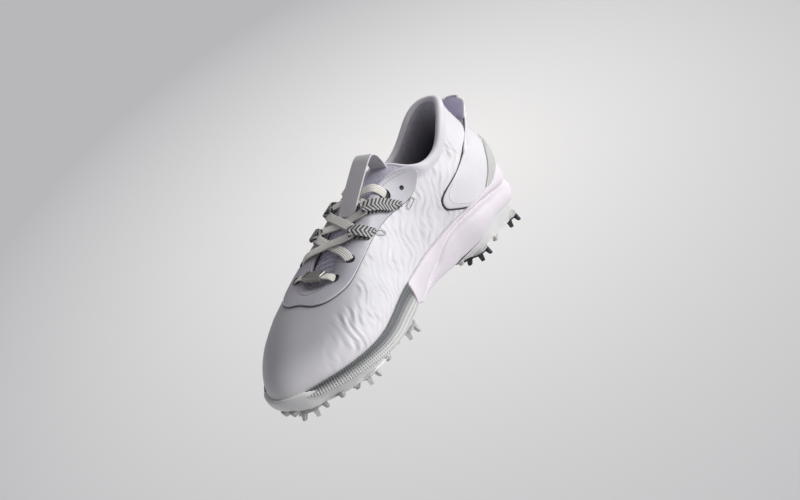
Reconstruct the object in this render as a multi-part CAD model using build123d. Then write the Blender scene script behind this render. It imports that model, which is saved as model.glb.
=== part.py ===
from build123d import *
import math
import os

# Golf shoe, right foot, millimetres.
# X runs along the shoe with the toe at -X and the heel at +X, Y across it with the
# inner (medial) side at -Y, and Z up from the plane of the spike tips.

# ---- driving dimensions -------------------------------------------------------------
HALF_LENGTH = 150.0
TOE_APEX_Y = -9.0
PLATE = 3.5              # thickness of the outsole plates
SOLE_WALL = 3.5          # thickness of the rand and of the plates' side walls
GAP = 0.1                # cement line between sole layers
UPPER = 1.4              # thickness of the outer shell
STIFFENER_OUT, STIFFENER_IN = -1.7, -2.9
LINING_OUT, LINING_IN = -3.2, -4.0
SOCK_SIDE = -4.4
FOAM_OUT, FOAM_IN = -1.7, -7.0
COLLAR_OUT, COLLAR_IN = -7.2, -8.0
TONGUE_OUT, TONGUE_IN = -4.3, -9.3
BOARD = 1.4
SOCK_LOW, SOCK_HIGH = 1.8, 5.5
MARGIN = 9.0             # turned-in lasting margin of the shell
EYELET_R = 2.3
LACE_R = 1.2
HIGH = 170.0             # above everything, for cutting bodies

# Spikes: places of the axes, and the height of each one's tips.
SPIKES = {
    "spike_heel_rear_medial": (129.0, -13.5, 0.0),
    "spike_heel_rear_lateral": (124.0, 15.5, 0.0),
    "spike_heel_front_medial": (79.0, -20.0, 0.0),
    "spike_heel_front_lateral": (78.0, 21.5, 0.0),
    "spike_ball_medial": (-29.0, -28.0, 0.0),
    "spike_ball_lateral": (-38.0, 34.0, 0.0),
    "spike_tread_medial": (-86.0, -34.5, 0.0),
    "spike_tread_lateral": (-84.0, 28.0, 0.0),
    "spike_toe": (-127.0, -16.0, 1.8),
}
SPIKE_ARMS = 6
SPIKE_R = 12.2
SPIKE_HUB_R = 6.2
SPIKE_DISC_R = 9.2
SPIKE_HEIGHT = 6.0       # tips to the seating face
ARM_WIDTH = 4.0
WRENCH_R = 1.0
WRENCH_SPACING = 6.6
STUD_R = 4.6
STUD_HEIGHT = 4.4
LUG_R = 6.0
LUG_LOW, LUG_HIGH = 2.6, 4.2
RUNNING = 0.06           # radial clearance of the stud in its socket
SOCKET_R = 8.6
SOCKET_HEIGHT = 6.4
FLANGE_R = 10.4
FLANGE = 1.0

# ---- profiles along the shoe, as (x, value) knots -----------------------------------
MEDIAL = [(-149.5, 10), (-143, 20), (-130, 33), (-107, 46), (-75, 52), (-38, 42),
          (-5, 31), (22, 28), (45, 29), (85, 34), (120, 32), (140, 21), (149, 6)]
LATERAL = [(-149.5, -8), (-143, 8), (-130, 21), (-107, 38), (-72, 50), (-38, 49),
           (-5, 43), (22, 39), (45, 37), (85, 37), (120, 34), (140, 23), (149, 6)]
SOLE_BOTTOM = [(-150, 15), (-140, 10.5), (-128, 7.8), (-110, 6.4), (-85, 6), (-30, 6),
               (0, 7.6), (28, 10.4), (50, 10.4), (68, 7), (78, 6), (132, 6), (142, 8),
               (150, 12)]
RAND_BOTTOM = [(-150, 24), (-141, 23.5), (-134, 19.5), (-122, 17), (-107, 16),
               (-89, 15), (-67, 12.8), (-43, 10.8), (-26, 11.3), (-8, 13)]
HEEL_WALL = [(52, 12.5), (66, 14), (78, 16.2), (91, 20.5), (104, 22.5), (119, 21.5),
             (135, 20), (150, 20)]
SOLE_LINE = [(-150, 24.5), (-140, 24.2), (-120, 25.2), (-90, 26), (-60, 26.8),
             (-25, 29.6), (5, 34), (23, 37.3), (40, 40.2), (57, 42.6), (80, 44.6),
             (100, 46.5), (125, 48.5), (150, 50.5)]
BED = [(-150, 19), (-120, 17.2), (-90, 17), (-60, 17.3), (-25, 19), (5, 22), (40, 26.5),
       (80, 29), (120, 30), (150, 32)]
CROWN = [(-150, 30), (-145, 34), (-140, 38), (-134, 42), (-128, 45.5), (-120, 49.8),
         (-110, 54.3), (-100, 58.3), (-89, 61.5), (-75, 64.5), (-61, 68), (-30, 81.5),
         (0, 95), (20, 101), (40, 106), (50, 110), (60, 126), (72, 138), (90, 140),
         (116, 140), (121, 136), (126, 122), (131, 104), (137, 84), (142, 66), (147, 54)]
FULLNESS = [(-150, 1.1), (-120, 1.15), (-90, 0.9), (-60, 0.72), (-30, 0.75), (0, 0.6),
            (15, 0.4), (40, 0.4), (60, 0.7), (85, 0.95), (150, 1.0)]
TOPLINE = [(30, 108), (38, 107), (44, 103), (55, 97), (69, 94), (79, 95), (88, 98.7),
           (95, 105), (102.7, 112), (110, 119.5), (119, 122.5), (125, 123.5),
           (150, 123.5)]
STATIONS = [-147.5, -144, -138, -129, -117, -100, -80, -60, -38, -14, 10, 32, 50, 62,
            76, 92, 108, 118, 125, 130, 135, 140, 144, 147]


# ---- small tools --------------------------------------------------------------------
def smooth(knots):
    """A smooth curve through the knots that never overshoots them."""
    xs = [k[0] for k in knots]
    ys = [k[1] for k in knots]
    steps = [(ys[i + 1] - ys[i]) / (xs[i + 1] - xs[i]) for i in range(len(xs) - 1)]
    slopes = [steps[0]]
    for a, b in zip(steps, steps[1:]):
        slopes.append(0.0 if a * b <= 0 else 2 * a * b / (a + b))
    slopes.append(steps[-1])

    def value(x):
        if x <= xs[0]:
            return ys[0]
        if x >= xs[-1]:
            return ys[-1]
        i = max(k for k in range(len(xs) - 1) if xs[k] <= x)
        h = xs[i + 1] - xs[i]
        t = (x - xs[i]) / h
        rise = (1 - t) * slopes[i] * h * t * (1 - t) - t * slopes[i + 1] * h * t * (1 - t)
        return ys[i] + (ys[i + 1] - ys[i]) * t * t * (3 - 2 * t) + rise

    return value


medial = smooth(MEDIAL)
lateral = smooth(LATERAL)
sole_bottom = smooth(SOLE_BOTTOM)
rand_bottom = smooth(RAND_BOTTOM)
heel_wall = smooth(HEEL_WALL)
sole_line = smooth(SOLE_LINE)
bed = smooth(BED)
crown = smooth(CROWN)
fullness = smooth(FULLNESS)
topline = smooth(TOPLINE)


def raised(curve, amount):
    """The curve moved up by the amount."""
    return lambda x: curve(x) + amount


def outline(inset):
    """Points round the sole's plan outline, moved inwards by the inset."""
    ring = [(HALF_LENGTH, 0.5)]
    ring += [(x, w) for x, w in reversed(LATERAL[1:-1])]
    ring += [(-HALF_LENGTH, TOE_APEX_Y)]
    ring += [(x, -w) for x, w in MEDIAL[1:-1]]
    moved = []
    for i, (x, y) in enumerate(ring):
        ax, ay = ring[i - 1]
        bx, by = ring[(i + 1) % len(ring)]
        size = math.hypot(bx - ax, by - ay)
        moved.append((x - (by - ay) / size * inset, y + (bx - ax) / size * inset))
    return moved


def plan_prism(inset):
    """The plan outline, moved inwards by the inset, standing through everything."""
    face = make_face(Spline(*outline(inset), periodic=True))
    return Pos(0, 0, -20) * extrude(face, HIGH + 20)


def profile(curve, x0, x1, count=24):
    """The profile curve from x0 to x1, as one edge in the side view."""
    xs = [x0 + (x1 - x0) * i / (count - 1) for i in range(count)]
    return Spline(*[(x, curve(x)) for x in xs])


def stepped_slab(floors, roofs):
    """The space between stepped profile curves, each a list of (curve, x0, x1)."""
    edges = []
    legs = list(floors) + [(curve, x1, x0) for curve, x0, x1 in reversed(roofs)]
    for i, (curve, x0, x1) in enumerate(legs):
        after, x2 = legs[(i + 1) % len(legs)][:2]
        edges.append(profile(curve, x0, x1))
        edges.append(Line((x1, curve(x1)), (x2, after(x2))))
    return extrude(Plane.XZ * make_face(Curve() + edges), 80, both=True)


def side_slab(low, high, x0, x1):
    """The space between two profile curves, through the whole width."""
    return stepped_slab([(low, x0, x1)], [(high, x0, x1)])


def side_prism(points):
    """A straight-sided side-view outline, through the whole width."""
    face = make_face(Polyline(*points, close=True))
    return extrude(Plane.XZ * face, 80, both=True)


def block(x0, x1, y0, y1, z0, z1):
    """A box from its limits."""
    middle = ((x0 + x1) / 2, (y0 + y1) / 2, (z0 + z1) / 2)
    return Pos(*middle) * Box(x1 - x0, y1 - y0, z1 - z0)


def layer(inset, low, high, x0, x1):
    """A slice of the sole between two profile curves."""
    return plan_prism(inset) & side_slab(low, high, x0, x1)


def section_points(x, offset, lift):
    """Half rows of one cross-section of the foot shape, lateral side then medial side."""
    middle = (lateral(x) - medial(x)) / 2
    half = max((lateral(x) + medial(x)) / 2 + offset, 1.6)
    shift = min(max((x + 110) / 50, 0.0), 1.0)
    top_y = middle * (1 - shift)
    low = bed(x) + lift
    wide = bed(x) + 11
    top = max(crown(x) + offset, wide + 1.0)
    rows = {}
    for side in (1, -1):
        row = [(middle + side * half * 0.82, low), (middle + side * half * 0.97, low + 5)]
        row.append((middle + side * half, wide))
        for turn in (0.22, 0.42, 0.60, 0.76, 0.90):
            angle = turn * math.pi / 2
            y = middle + (top_y - middle) * math.sin(angle)
            y += side * half * math.cos(angle) ** fullness(x)
            row.append((y, wide + (top - wide) * math.sin(angle)))
        rows[side] = row
    return rows[1] + [(top_y, top)] + rows[-1][::-1]


def station(x, offset):
    """Where a cross-section lies once the form has been offset."""
    toe = min(max((-118 - x) / 30, 0.0), 1.0)
    heel = min(max((x - 104) / 30, 0.0), 1.0)
    return x - offset * toe + offset * heel


def form(offset, lift, stations=STATIONS):
    """The foot shape, offset outwards, with its floor lifted above the bed."""
    faces = []
    for x in stations:
        points = [(station(x, offset), y, z) for y, z in section_points(x, offset, lift)]
        over = Spline(*points)
        under = Line(points[-1], points[0])
        faces.append(Face(Wire([over, under])))
    return loft(faces)


def shell(outer, inner, lift=1.6):
    """A skin between two offsets of the foot shape, with no floor."""
    return form(outer, lift) - form(inner, lift - 1.0)


def ring_at(places, radius, low, high):
    """Upright round bars at the spikes' places."""
    bars = [Pos(x, y, (z + low + z + high) / 2) * Cylinder(radius, high - low)
            for x, y, z in places]
    return Compound(children=bars)


# ---- spikes and their sockets -------------------------------------------------------
def spike(x, y, z):
    """A soft spike: a hub and disc, arms that reach the ground, and a bayonet stud."""
    disc = Pos(0, 0, SPIKE_HEIGHT - 0.9) * Cylinder(SPIKE_DISC_R, 1.8)
    hub = Pos(0, 0, SPIKE_HEIGHT - 2.4) * Cone(SPIKE_HUB_R - 1.6, SPIKE_HUB_R, 2.4)
    body = disc + hub
    for i in range(SPIKE_ARMS):
        root = Pos(7.6, 0, SPIKE_HEIGHT - 1.5) * Box(5.6, ARM_WIDTH, 2.2)
        leg = Plane((9.0, 0, SPIKE_HEIGHT - 1.4)) * Rectangle(3.4, ARM_WIDTH)
        foot = Plane((SPIKE_R - 1.1, 0, 0)) * Rectangle(2.2, ARM_WIDTH - 1.2)
        arm = root + loft([foot.face(), leg.face()])
        body += Rot(0, 0, 360 / SPIKE_ARMS * i) * arm
    stud_top = SPIKE_HEIGHT + STUD_HEIGHT
    body += Pos(0, 0, (SPIKE_HEIGHT - 1 + stud_top) / 2) * Cylinder(STUD_R, STUD_HEIGHT + 1)
    for i in range(3):
        lug = Pos(0, 0, SPIKE_HEIGHT + (LUG_LOW + LUG_HIGH) / 2) * Cylinder(LUG_R, LUG_HIGH - LUG_LOW)
        body += lug & (Rot(0, 0, 120 * i) * Pos(4.2, 0, SPIKE_HEIGHT + 3) * Box(4.4, 4.0, 6))
    for side in (-1, 1):
        body -= Pos(0, side * WRENCH_SPACING / 2, SPIKE_HEIGHT - 2.6) * Cylinder(WRENCH_R, 3.2)
    return Pos(x, y, z) * body


def socket(x, y, z):
    """A socket: a cup with a bayonet groove and three entry slots a part turn away."""
    low = SPIKE_HEIGHT + 0.15
    cup = Pos(0, 0, low + SOCKET_HEIGHT / 2) * Cylinder(SOCKET_R, SOCKET_HEIGHT)
    cup += Pos(0, 0, low + FLANGE / 2) * Cylinder(FLANGE_R, FLANGE)
    depth = STUD_HEIGHT + 0.4
    cup -= Pos(0, 0, low + depth / 2 - 0.1) * Cylinder(STUD_R + RUNNING, depth + 0.2)
    groove = LUG_HIGH - LUG_LOW + 0.3
    middle = SPIKE_HEIGHT + (LUG_LOW + LUG_HIGH) / 2
    cup -= Pos(0, 0, middle) * Cylinder(LUG_R + RUNNING, groove)
    for i in range(3):
        slot = Pos(4.2, 0, low + 1.4) * Box(4.8, 4.6, 3.4)
        reach = Pos(0, 0, low + 1.4) * Cylinder(LUG_R + RUNNING, 3.4)
        cup -= reach & (Rot(0, 0, 120 * i + 60) * slot)
    return Pos(x, y, z) * cup


def spike_places():
    return list(SPIKES.values())


def socket_room():
    """The room that the sockets and spikes need in the sole."""
    low = SPIKE_HEIGHT + 0.05
    cups = ring_at(spike_places(), SOCKET_R + 0.1, low - 6, low + SOCKET_HEIGHT + 0.2)
    rims = ring_at(spike_places(), FLANGE_R + 0.1, low - 6, low + FLANGE + 0.15)
    discs = ring_at(spike_places(), SPIKE_R + 0.8, -5, low + 0.1)
    return [cups, rims, discs]


def without(shape, tools):
    """The shape with each tool cut away."""
    for tool in tools:
        shape = shape - tool
    return shape


# ---- sole ---------------------------------------------------------------------------
def lugs(places, height):
    """Small moulded traction lugs under a plate."""
    pegs = []
    for x, y in places:
        z = sole_bottom(x)
        pegs.append(Pos(x, y, z + 0.6 - height / 2) * Cone(1.5, 2.6, height))
    return pegs


FOREFOOT_LUGS = [(-142, -14), (-136, -2), (-141, -4), (-112, -34), (-108, 6), (-107, 24),
                 (-104, -16), (-66, -42), (-62, -6), (-60, 12), (-58, 40), (-52, -30),
                 (-12, 30), (-12, -14), (-10, 8), (-100, -36)]
HEEL_LUGS = [(58, -22), (59, 26), (62, 2), (98, -26), (99, 27), (100, 0), (104, -8),
             (112, 24), (141, 4), (142, -8)]


def plate_with_wall(roofs, x0, x1, pegs, rooms):
    """An outsole plate with a raised side wall and small lugs."""
    block_out = plan_prism(0.4) & stepped_slab([(sole_bottom, x0, x1)], roofs)
    recess = plan_prism(0.4 + SOLE_WALL)
    recess &= side_slab(raised(sole_bottom, PLATE), raised(sole_bottom, 50), x0 - 4, x1 + 4)
    body = without(block_out - recess - UPPER_ROOM, rooms)
    for peg in pegs:
        body += peg
    return body


def outsole_forefoot(rooms):
    roofs = [(rand_bottom, -151, -8.2), (raised(sole_bottom, PLATE), -8.2, 2)]
    return plate_with_wall(roofs, -151, 2, lugs(FOREFOOT_LUGS, 3.4), rooms)


def outsole_heel(rooms):
    return plate_with_wall([(heel_wall, 52, 151)], 52, 151, lugs(HEEL_LUGS, 3.0), rooms)


def midsole(rooms):
    """The foam: a cup round the heel and waist, and a core inside the plates' walls."""
    floors = [(rand_bottom, -8.0, 2.1), (sole_bottom, 2.1, 51.9),
              (raised(heel_wall, GAP), 51.9, 151)]
    cup = plan_prism(0) & stepped_slab(floors, [(sole_line, -8.0, 151)])
    inner = 0.4 + SOLE_WALL + GAP
    core = layer(inner, raised(sole_bottom, PLATE + GAP), raised(bed, 4), -147, 147)
    return without(cup + core - UPPER_ROOM - SHANK_ROOM, rooms)


def forefoot_rand(rooms):
    ring = layer(0, raised(rand_bottom, GAP), sole_line, -140.5, -8.1)
    ring -= layer(SOLE_WALL, raised(rand_bottom, -9), raised(sole_line, 9), -150, 10)
    return without(ring - UPPER_ROOM, rooms)


def shank(grow):
    """The waist stiffener: a waisted plate with two ribs, bent up towards the heel."""
    def low(x):
        return bed(x) - 4.2 - grow

    def high(x):
        return bed(x) - 2.6 + grow

    strap = block(-45 - grow, 70 + grow, -13 - grow, 15 + grow, 0, 60)
    waist = block(-20, 50, -9 - grow, 11 + grow, 0, 60)
    ends = block(-45 - grow, -20, -13 - grow, 15 + grow, 0, 60)
    ends += block(50, 70 + grow, -13 - grow, 15 + grow, 0, 60)
    return side_slab(low, high, -46, 71) & (ends + waist) & strap


# ---- upper --------------------------------------------------------------------------
def above_topline(drop=0.0):
    """Everything above the collar's line, behind the tongue."""
    return side_slab(raised(topline, drop), raised(topline, HIGH), 40.5, 165)


def stadium(x0, x1, half0, half1):
    """A plan outline with a round toe end and a wider heel end, standing through all."""
    face = make_face(Curve() + [
        Line((x0 + half0, -half0), (x1, -half1)), Line((x1, -half1), (x1, half1)),
        Line((x1, half1), (x0 + half0, half0)),
        ThreePointArc((x0 + half0, half0), (x0, 0), (x0 + half0, -half0))])
    return Pos(0, 0, 46) * extrude(face, HIGH)


def skin(x, y, out=0.0):
    """A point of the foot shape above (x, y), moved outwards by a distance."""
    points = section_points(x, 0.0, 0.0)
    for (y0, z0), (y1, z1) in zip(points[3:-3], points[4:-2]):
        if y1 <= y <= y0:
            share = (y0 - y) / (y0 - y1)
            size = math.hypot(y0 - y1, z1 - z0)
            lean, rise = (z1 - z0) / size, (y0 - y1) / size
            return (x, y + lean * out, z0 + (z1 - z0) * share + rise * out)
    raise ValueError("no skin above this point")


# Lace holes as (x, half spacing), from the toe: the second and third pairs are webbing.
BAR_X, BAR_Y = -59.0, 21.0
LOW_X, LOW_Y = -40.0, 22.0
HIGH_X, HIGH_Y = 18.0, 22.0
EYELETS = [(BAR_X, BAR_Y), (LOW_X, LOW_Y), (HIGH_X, HIGH_Y)]


def eyelet_bars(radius):
    """Bars through the lace holes, square to the surface."""
    bars = []
    for x, half in EYELETS:
        for side in (-1, 1):
            low, high = Vector(*skin(x, side * half, -7)), Vector(*skin(x, side * half, 7))
            middle = Plane(origin=(low + high) / 2, z_dir=high - low)
            bars.append(middle * Cylinder(radius, 14))
    return bars


def upper_shell():
    skin = UPPER_FORM - form(-UPPER, UPPER)
    skin -= plan_prism(MARGIN) & block(-160, 160, -60, 60, 0, 38)
    skin -= above_topline()
    skin -= stadium(-60, 41, 12, 15)
    return without(skin, eyelet_bars(EYELET_R))


def toe_puff():
    skin = shell(STIFFENER_OUT, STIFFENER_IN)
    return skin & block(-160, -112, -60, 60, 0, 100)


def heel_counter():
    skin = shell(STIFFENER_OUT, STIFFENER_IN)
    return skin & block(92, 160, -60, 60, 0, 70)


def padding_zone(grow=0.0):
    """The collar's padded band, from below the ankle up to the topline."""
    low = raised(topline, -24 - grow)

    def floor(x):
        return min(low(x), 95) if x > 60 else low(x)

    return side_slab(floor, raised(topline, 30), 56 - grow, 165)


def upper_lining():
    skin = shell(LINING_OUT, LINING_IN)
    skin -= padding_zone(0.3)
    skin -= above_topline(-0.5)
    skin -= stadium(-58, 57, 14, 17)
    return without(skin, eyelet_bars(EYELET_R))


def collar_padding():
    skin = shell(FOAM_OUT, FOAM_IN) & padding_zone()
    return skin - above_topline(-0.8)


def collar_lining():
    skin = shell(COLLAR_OUT, COLLAR_IN) & padding_zone()
    return skin - above_topline(-0.4)


def tongue():
    skin = shell(TONGUE_OUT, TONGUE_IN)
    side = side_prism([(-72, 50), (-72, 90), (30, 125), (47, 125), (53, 96), (20, 74), (-30, 58)])
    skin = skin & side & block(-72, 54, -21, 21, 40, 130)
    for i in range(6):
        x = -44 + 11 * i
        z = crown(x) + TONGUE_OUT
        skin -= Pos(x, 0, z) * Rot(90, 0, 0) * Cylinder(0.9, 30)
    return skin


def overlay(outer, inner, outline_points):
    """A panel on the outside of the upper, cut to a side-view outline."""
    return (form(outer, 1.6) - form(inner, 0.6)) & side_prism(outline_points)


def eyestay():
    zone = [(-84, 48), (-84, 80), (36, 125), (40, 106), (38, 82), (26, 76), (0, 70),
            (-30, 60), (-58, 53)]
    panel = overlay(1.0, 0.1, zone) & stadium(-80, 41, 24, 40)
    panel = panel - stadium(-61, 42, 12.5, 15.5)
    return without(panel, eyelet_bars(EYELET_R))


HEEL_FRONT = [(108, 117.5), (112.5, 105), (113, 92), (108, 80), (98, 68), (87, 57),
              (84, 50), (88, 45.6), (104, 47.6), (127, 49.6), (127.5, 58), (132, 66),
              (152, 66), (152, 112), (128, 121)]
TAB_BACK = [(127, 86), (134, 84), (139, 92), (148, 110), (145.5, 112.5), (136.5, 98),
            (130, 92)]


def tab_shape(points, half):
    """A flared tab: a side-view profile across the back, rounded at its tip."""
    bar = extrude(Plane.XZ * make_face(Polyline(*points, close=True)), half, both=True)
    face = make_face(Curve() + [
        Line((-half, 80), (half, 80)), Line((half, 80), (half * 0.8, 106)),
        ThreePointArc((half * 0.8, 106), (0, 113.5), (-half * 0.8, 106)),
        Line((-half * 0.8, 106), (-half, 80))])
    return bar & (Pos(80, 0, 0) * extrude(Plane.YZ * face, 90))


def heel_overlay():
    panel = overlay(1.5, 0.15, HEEL_FRONT)
    tab = tab_shape(TAB_BACK, 14) - form(0.15, 0.6)
    return panel + tab


def heel_tab_inset():
    pad = [(x - 1.15, z + 0.9) for x, z in TAB_BACK[4:]]
    back = [(x - 0.25, z + 0.2) for x, z in reversed(TAB_BACK[4:])]
    points = pad + back
    return tab_shape(points, 8.5) - form(1.6, 0.6)


def heel_clip():
    zone = [(127.8, 49.9), (154, 50.9), (154, 65.7), (132.3, 65.7), (127.8, 58)]
    return overlay(3.0, 0.15, zone)


def sockliner():
    pad = form(SOCK_SIDE, 0.5) & side_slab(raised(bed, SOCK_LOW), raised(bed, SOCK_HIGH),
                                           -150, 150)
    return pad


def strobel_board():
    return layer(MARGIN + 0.3, bed, raised(bed, BOARD), -140, 141) & form(-1.0, -0.5)


# ---- tongue strap, lace loops, lace and lace tag --------------------------------------
def tongue_pull_loop():
    outer = make_face(Curve() + [
        Polyline((-4, 93.4), (22, 119.5)),
        ThreePointArc((22, 119.5), (33.5, 122.5), (41, 113.5)),
        Polyline((41, 113.5), (44.5, 104.5), (42.9, 104.0), (39.3, 113)),
        ThreePointArc((39.3, 113), (33, 120.6), (23.2, 118.1)),
        Polyline((23.2, 118.1), (-2.8, 92.0), (-4, 93.4))])
    return extrude(Plane.XZ * outer, 9.5, both=True) - form(TONGUE_OUT + 0.1, 0)


LOOPS = {
    "lace_loop_lower": (-13.5, 82.5, 29.0, 24.0),
    "lace_loop_upper": (10.0, 90.0, 34.0, 24.0),
}
WEB = 9.5
NEAR_LOOPS = [x for x in STATIONS if -60 < x < 75]


def lace_loop(x, z, length, turn, side):
    """A webbing loop that lies on the lace panel, thick at its tip where the lace runs."""
    low, high = (0, 60) if side > 0 else (-60, 0)
    zone = Pos(x, 0, z) * Rot(0, turn, 0) * Box(length, 140, WEB)
    half = block(-60, 60, low, high, 40, 130)
    web = (form(2.4, 1.6, NEAR_LOOPS) - form(1.25, 0.6, NEAR_LOOPS)) & zone & half
    return without(web - stadium(-61, 42, 12.5, 14.5), [lace_tube(LACE_R + 0.2)])


# ---- lace and lace tag ----------------------------------------------------------------
TIP_HIGH = (-4.0, 14.0)      # the tips of the upper webbing loops
TIP_LOW = (-23.0, 14.0)      # the tips of the lower webbing loops
TIP_RUN = 3.0
BAR_RISE = 4.5
OVER, ON_TOP = 2.8, 5.6
INSIDE = -4.6


def over_tongue(x, y, rise):
    """A point above the middle of the tongue."""
    return (x, y, crown(x) + rise)


def half_lace(side, rise):
    """From the bar to the tail: up a hole, over three rows, down a hole and inside."""
    tip_low = [skin(TIP_LOW[0] + d, side * TIP_LOW[1], 3.9) for d in (-TIP_RUN, TIP_RUN)]
    tip_high = [skin(TIP_HIGH[0] + d, -side * TIP_HIGH[1], 3.9) for d in (-TIP_RUN, TIP_RUN)]
    return [
        skin(LOW_X, -side * LOW_Y, INSIDE), skin(LOW_X, -side * LOW_Y, OVER),
        over_tongue(-33.0, -side * 2.0, rise), *tip_low,
        over_tongue(-14.0, side * 1.0, rise), *tip_high,
        over_tongue(7.0, -side * 1.0, rise),
        skin(HIGH_X, side * HIGH_Y, OVER), skin(HIGH_X, side * HIGH_Y, INSIDE),
        (23.0, side * 22.3, 82.0), (30.0, side * 21.5, 74.0)]


def lace_route():
    """The whole lace, from one tucked tail to the other."""
    level = crown(BAR_X) + BAR_RISE
    start = half_lace(1, OVER)[::-1]
    bar = [skin(BAR_X, BAR_Y, INSIDE), (BAR_X, BAR_Y + 0.8, level),
           (BAR_X, -BAR_Y - 0.8, level), skin(BAR_X, -BAR_Y, INSIDE)]
    return start + bar + half_lace(-1, ON_TOP)


def lace_radii(route):
    """The largest bend at each corner that its two runs allow."""
    radii = []
    for a, b, c in zip(route, route[1:], route[2:]):
        one, two = Vector(*b) - Vector(*a), Vector(*c) - Vector(*b)
        turn = math.radians(one.get_angle(two))
        radii.append(min(0.45 * min(one.length, two.length) / math.tan(turn / 2), 12.0))
    return radii


def lace_tube(radius):
    """A round tube along the lace's route."""
    route = lace_route()
    path = FilletPolyline(*route, radius=lace_radii(route))
    start = Plane(origin=path @ 0, z_dir=path % 0)
    return sweep(start * Circle(radius), path=path)


def lace_aglets():
    """Two end sleeves in line with the tails, hidden inside the shoe."""
    route = lace_route()
    ends = []
    for last, before in ((route[0], route[1]), (route[-1], route[-2])):
        along = (Vector(*last) - Vector(*before)).normalized()
        plane = Plane(origin=Vector(*last) + along * 5.05, z_dir=along)
        ends.append(plane * Cylinder(LACE_R + 0.15, 10))
    return Compound(children=ends)


TAG_LENGTH, TAG_WIDTH, TAG_HEIGHT = 20.0, 9.0, 4.2


def lace_tag():
    """A metal sleeve that slides on the lace's straight bar, with a plate for a face."""
    level = crown(BAR_X) + BAR_RISE
    body = Pos(BAR_X, 0, level + 0.2) * Box(TAG_WIDTH, TAG_LENGTH, TAG_HEIGHT)
    body = fillet(body.edges().filter_by(Axis.Z), 1.6)
    body = fillet(body.faces().sort_by(Axis.Z)[-1].edges(), 0.5)
    body -= Pos(BAR_X, 0, level) * Box(TAG_WIDTH - 1.6, TAG_LENGTH + 2, 2 * LACE_R + 0.2)
    for side in (-1, 1):
        body -= Pos(BAR_X, side * 6.9, level + 2) * Box(TAG_WIDTH - 2.6, 1.6, 4)
    return body


# ---- writing --------------------------------------------------------------------------
SHIFT = (-0.13, 0.66, 0.0)   # puts the origin under the middle of the whole shoe
UPPER_FORM = form(0, 0)
UPPER_ROOM = form(0.2, -0.2)
SHANK_ROOM = shank(0.3)


def keep(node, shape):
    """Writes one named sub-part, with the origin under the middle of the shoe."""
    solids = [Pos(*SHIFT) * s for s in shape.solids() if s.volume > 1.0]
    whole = Compound(children=solids) if len(solids) > 1 else solids[0]
    whole.label = node
    export_step(whole, f"parts/{node}.step")
    print(node, len(solids), round(sum(s.volume for s in solids)))


def main():
    os.makedirs("parts", exist_ok=True)
    rooms = socket_room()
    lace = lace_tube(LACE_R)
    holes = [lace_tube(LACE_R + 0.2)]
    keep("outsole_forefoot", outsole_forefoot(rooms))
    keep("outsole_heel", outsole_heel(rooms))
    keep("midsole", midsole(rooms))
    keep("forefoot_rand", forefoot_rand(rooms))
    keep("heel_clip", heel_clip())
    keep("shank_plate", shank(0))
    keep("strobel_board", strobel_board())
    keep("sockliner", sockliner())
    keep("toe_puff", toe_puff())
    keep("heel_counter", heel_counter())
    keep("upper_shell", upper_shell())
    keep("upper_lining", without(upper_lining(), holes))
    keep("collar_padding", collar_padding())
    keep("collar_lining", collar_lining())
    keep("eyestay_overlay", eyestay())
    keep("heel_overlay", heel_overlay())
    keep("heel_tab_inset", heel_tab_inset())
    keep("tongue", without(tongue(), holes))
    keep("tongue_pull_loop", tongue_pull_loop())
    for name, place in LOOPS.items():
        for side, word in ((-1, "medial"), (1, "lateral")):
            keep(f"{name}_{word}", lace_loop(*place, side))
    keep("lace", lace)
    keep("lace_aglets", lace_aglets())
    keep("lace_tag", lace_tag())
    keep("spike_receptacles", Compound(children=[socket(*p) for p in spike_places()]))
    for name, place in SPIKES.items():
        keep(name, spike(*place))
    route = lace_route()
    print("lace bends", [round(r, 1) for r in lace_radii(route)])
    print("lace length", round(FilletPolyline(*route, radius=lace_radii(route)).length))


main()
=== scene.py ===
import math
import bmesh
import bpy
import numpy as np
from mathutils import Matrix, Vector


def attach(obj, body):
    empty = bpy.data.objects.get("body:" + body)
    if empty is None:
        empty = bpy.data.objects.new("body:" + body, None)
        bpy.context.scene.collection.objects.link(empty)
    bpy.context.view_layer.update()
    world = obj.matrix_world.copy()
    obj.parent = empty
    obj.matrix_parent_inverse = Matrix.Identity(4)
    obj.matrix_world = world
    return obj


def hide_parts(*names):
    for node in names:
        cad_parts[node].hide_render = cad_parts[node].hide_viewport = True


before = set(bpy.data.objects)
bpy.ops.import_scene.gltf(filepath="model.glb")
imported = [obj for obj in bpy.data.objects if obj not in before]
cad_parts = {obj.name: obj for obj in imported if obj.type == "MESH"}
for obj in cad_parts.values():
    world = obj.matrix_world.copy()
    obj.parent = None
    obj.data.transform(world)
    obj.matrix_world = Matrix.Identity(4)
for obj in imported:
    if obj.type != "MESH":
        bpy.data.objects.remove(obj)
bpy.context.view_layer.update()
SHOE = "shoe"

# The shoe's own surface in millimetres: toe at -X, inner side at -Y, spike tips at z = 0.
SHIFT = np.array([-0.13, 0.66, 0.0])
SOLE_BOTTOM = [(-150, 15), (-140, 10.5), (-128, 7.8), (-110, 6.4), (-85, 6), (-30, 6),
               (0, 7.6), (28, 10.4), (50, 10.4), (68, 7), (78, 6), (132, 6), (142, 8),
               (150, 12)]
RAND_BOTTOM = [(-150, 24), (-141, 23.5), (-134, 19.5), (-122, 17), (-107, 16),
               (-89, 15), (-67, 12.8), (-43, 10.8), (-26, 11.3), (-8, 13)]
HEEL_WALL = [(52, 12.5), (66, 14), (78, 16.2), (91, 20.5), (104, 22.5), (119, 21.5),
             (135, 20), (150, 20)]
SOLE_LINE = [(-150, 24.5), (-140, 24.2), (-120, 25.2), (-90, 26), (-60, 26.8),
             (-25, 29.6), (5, 34), (23, 37.3), (40, 40.2), (57, 42.6), (80, 44.6),
             (100, 46.5), (125, 48.5), (150, 50.5)]
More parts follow.
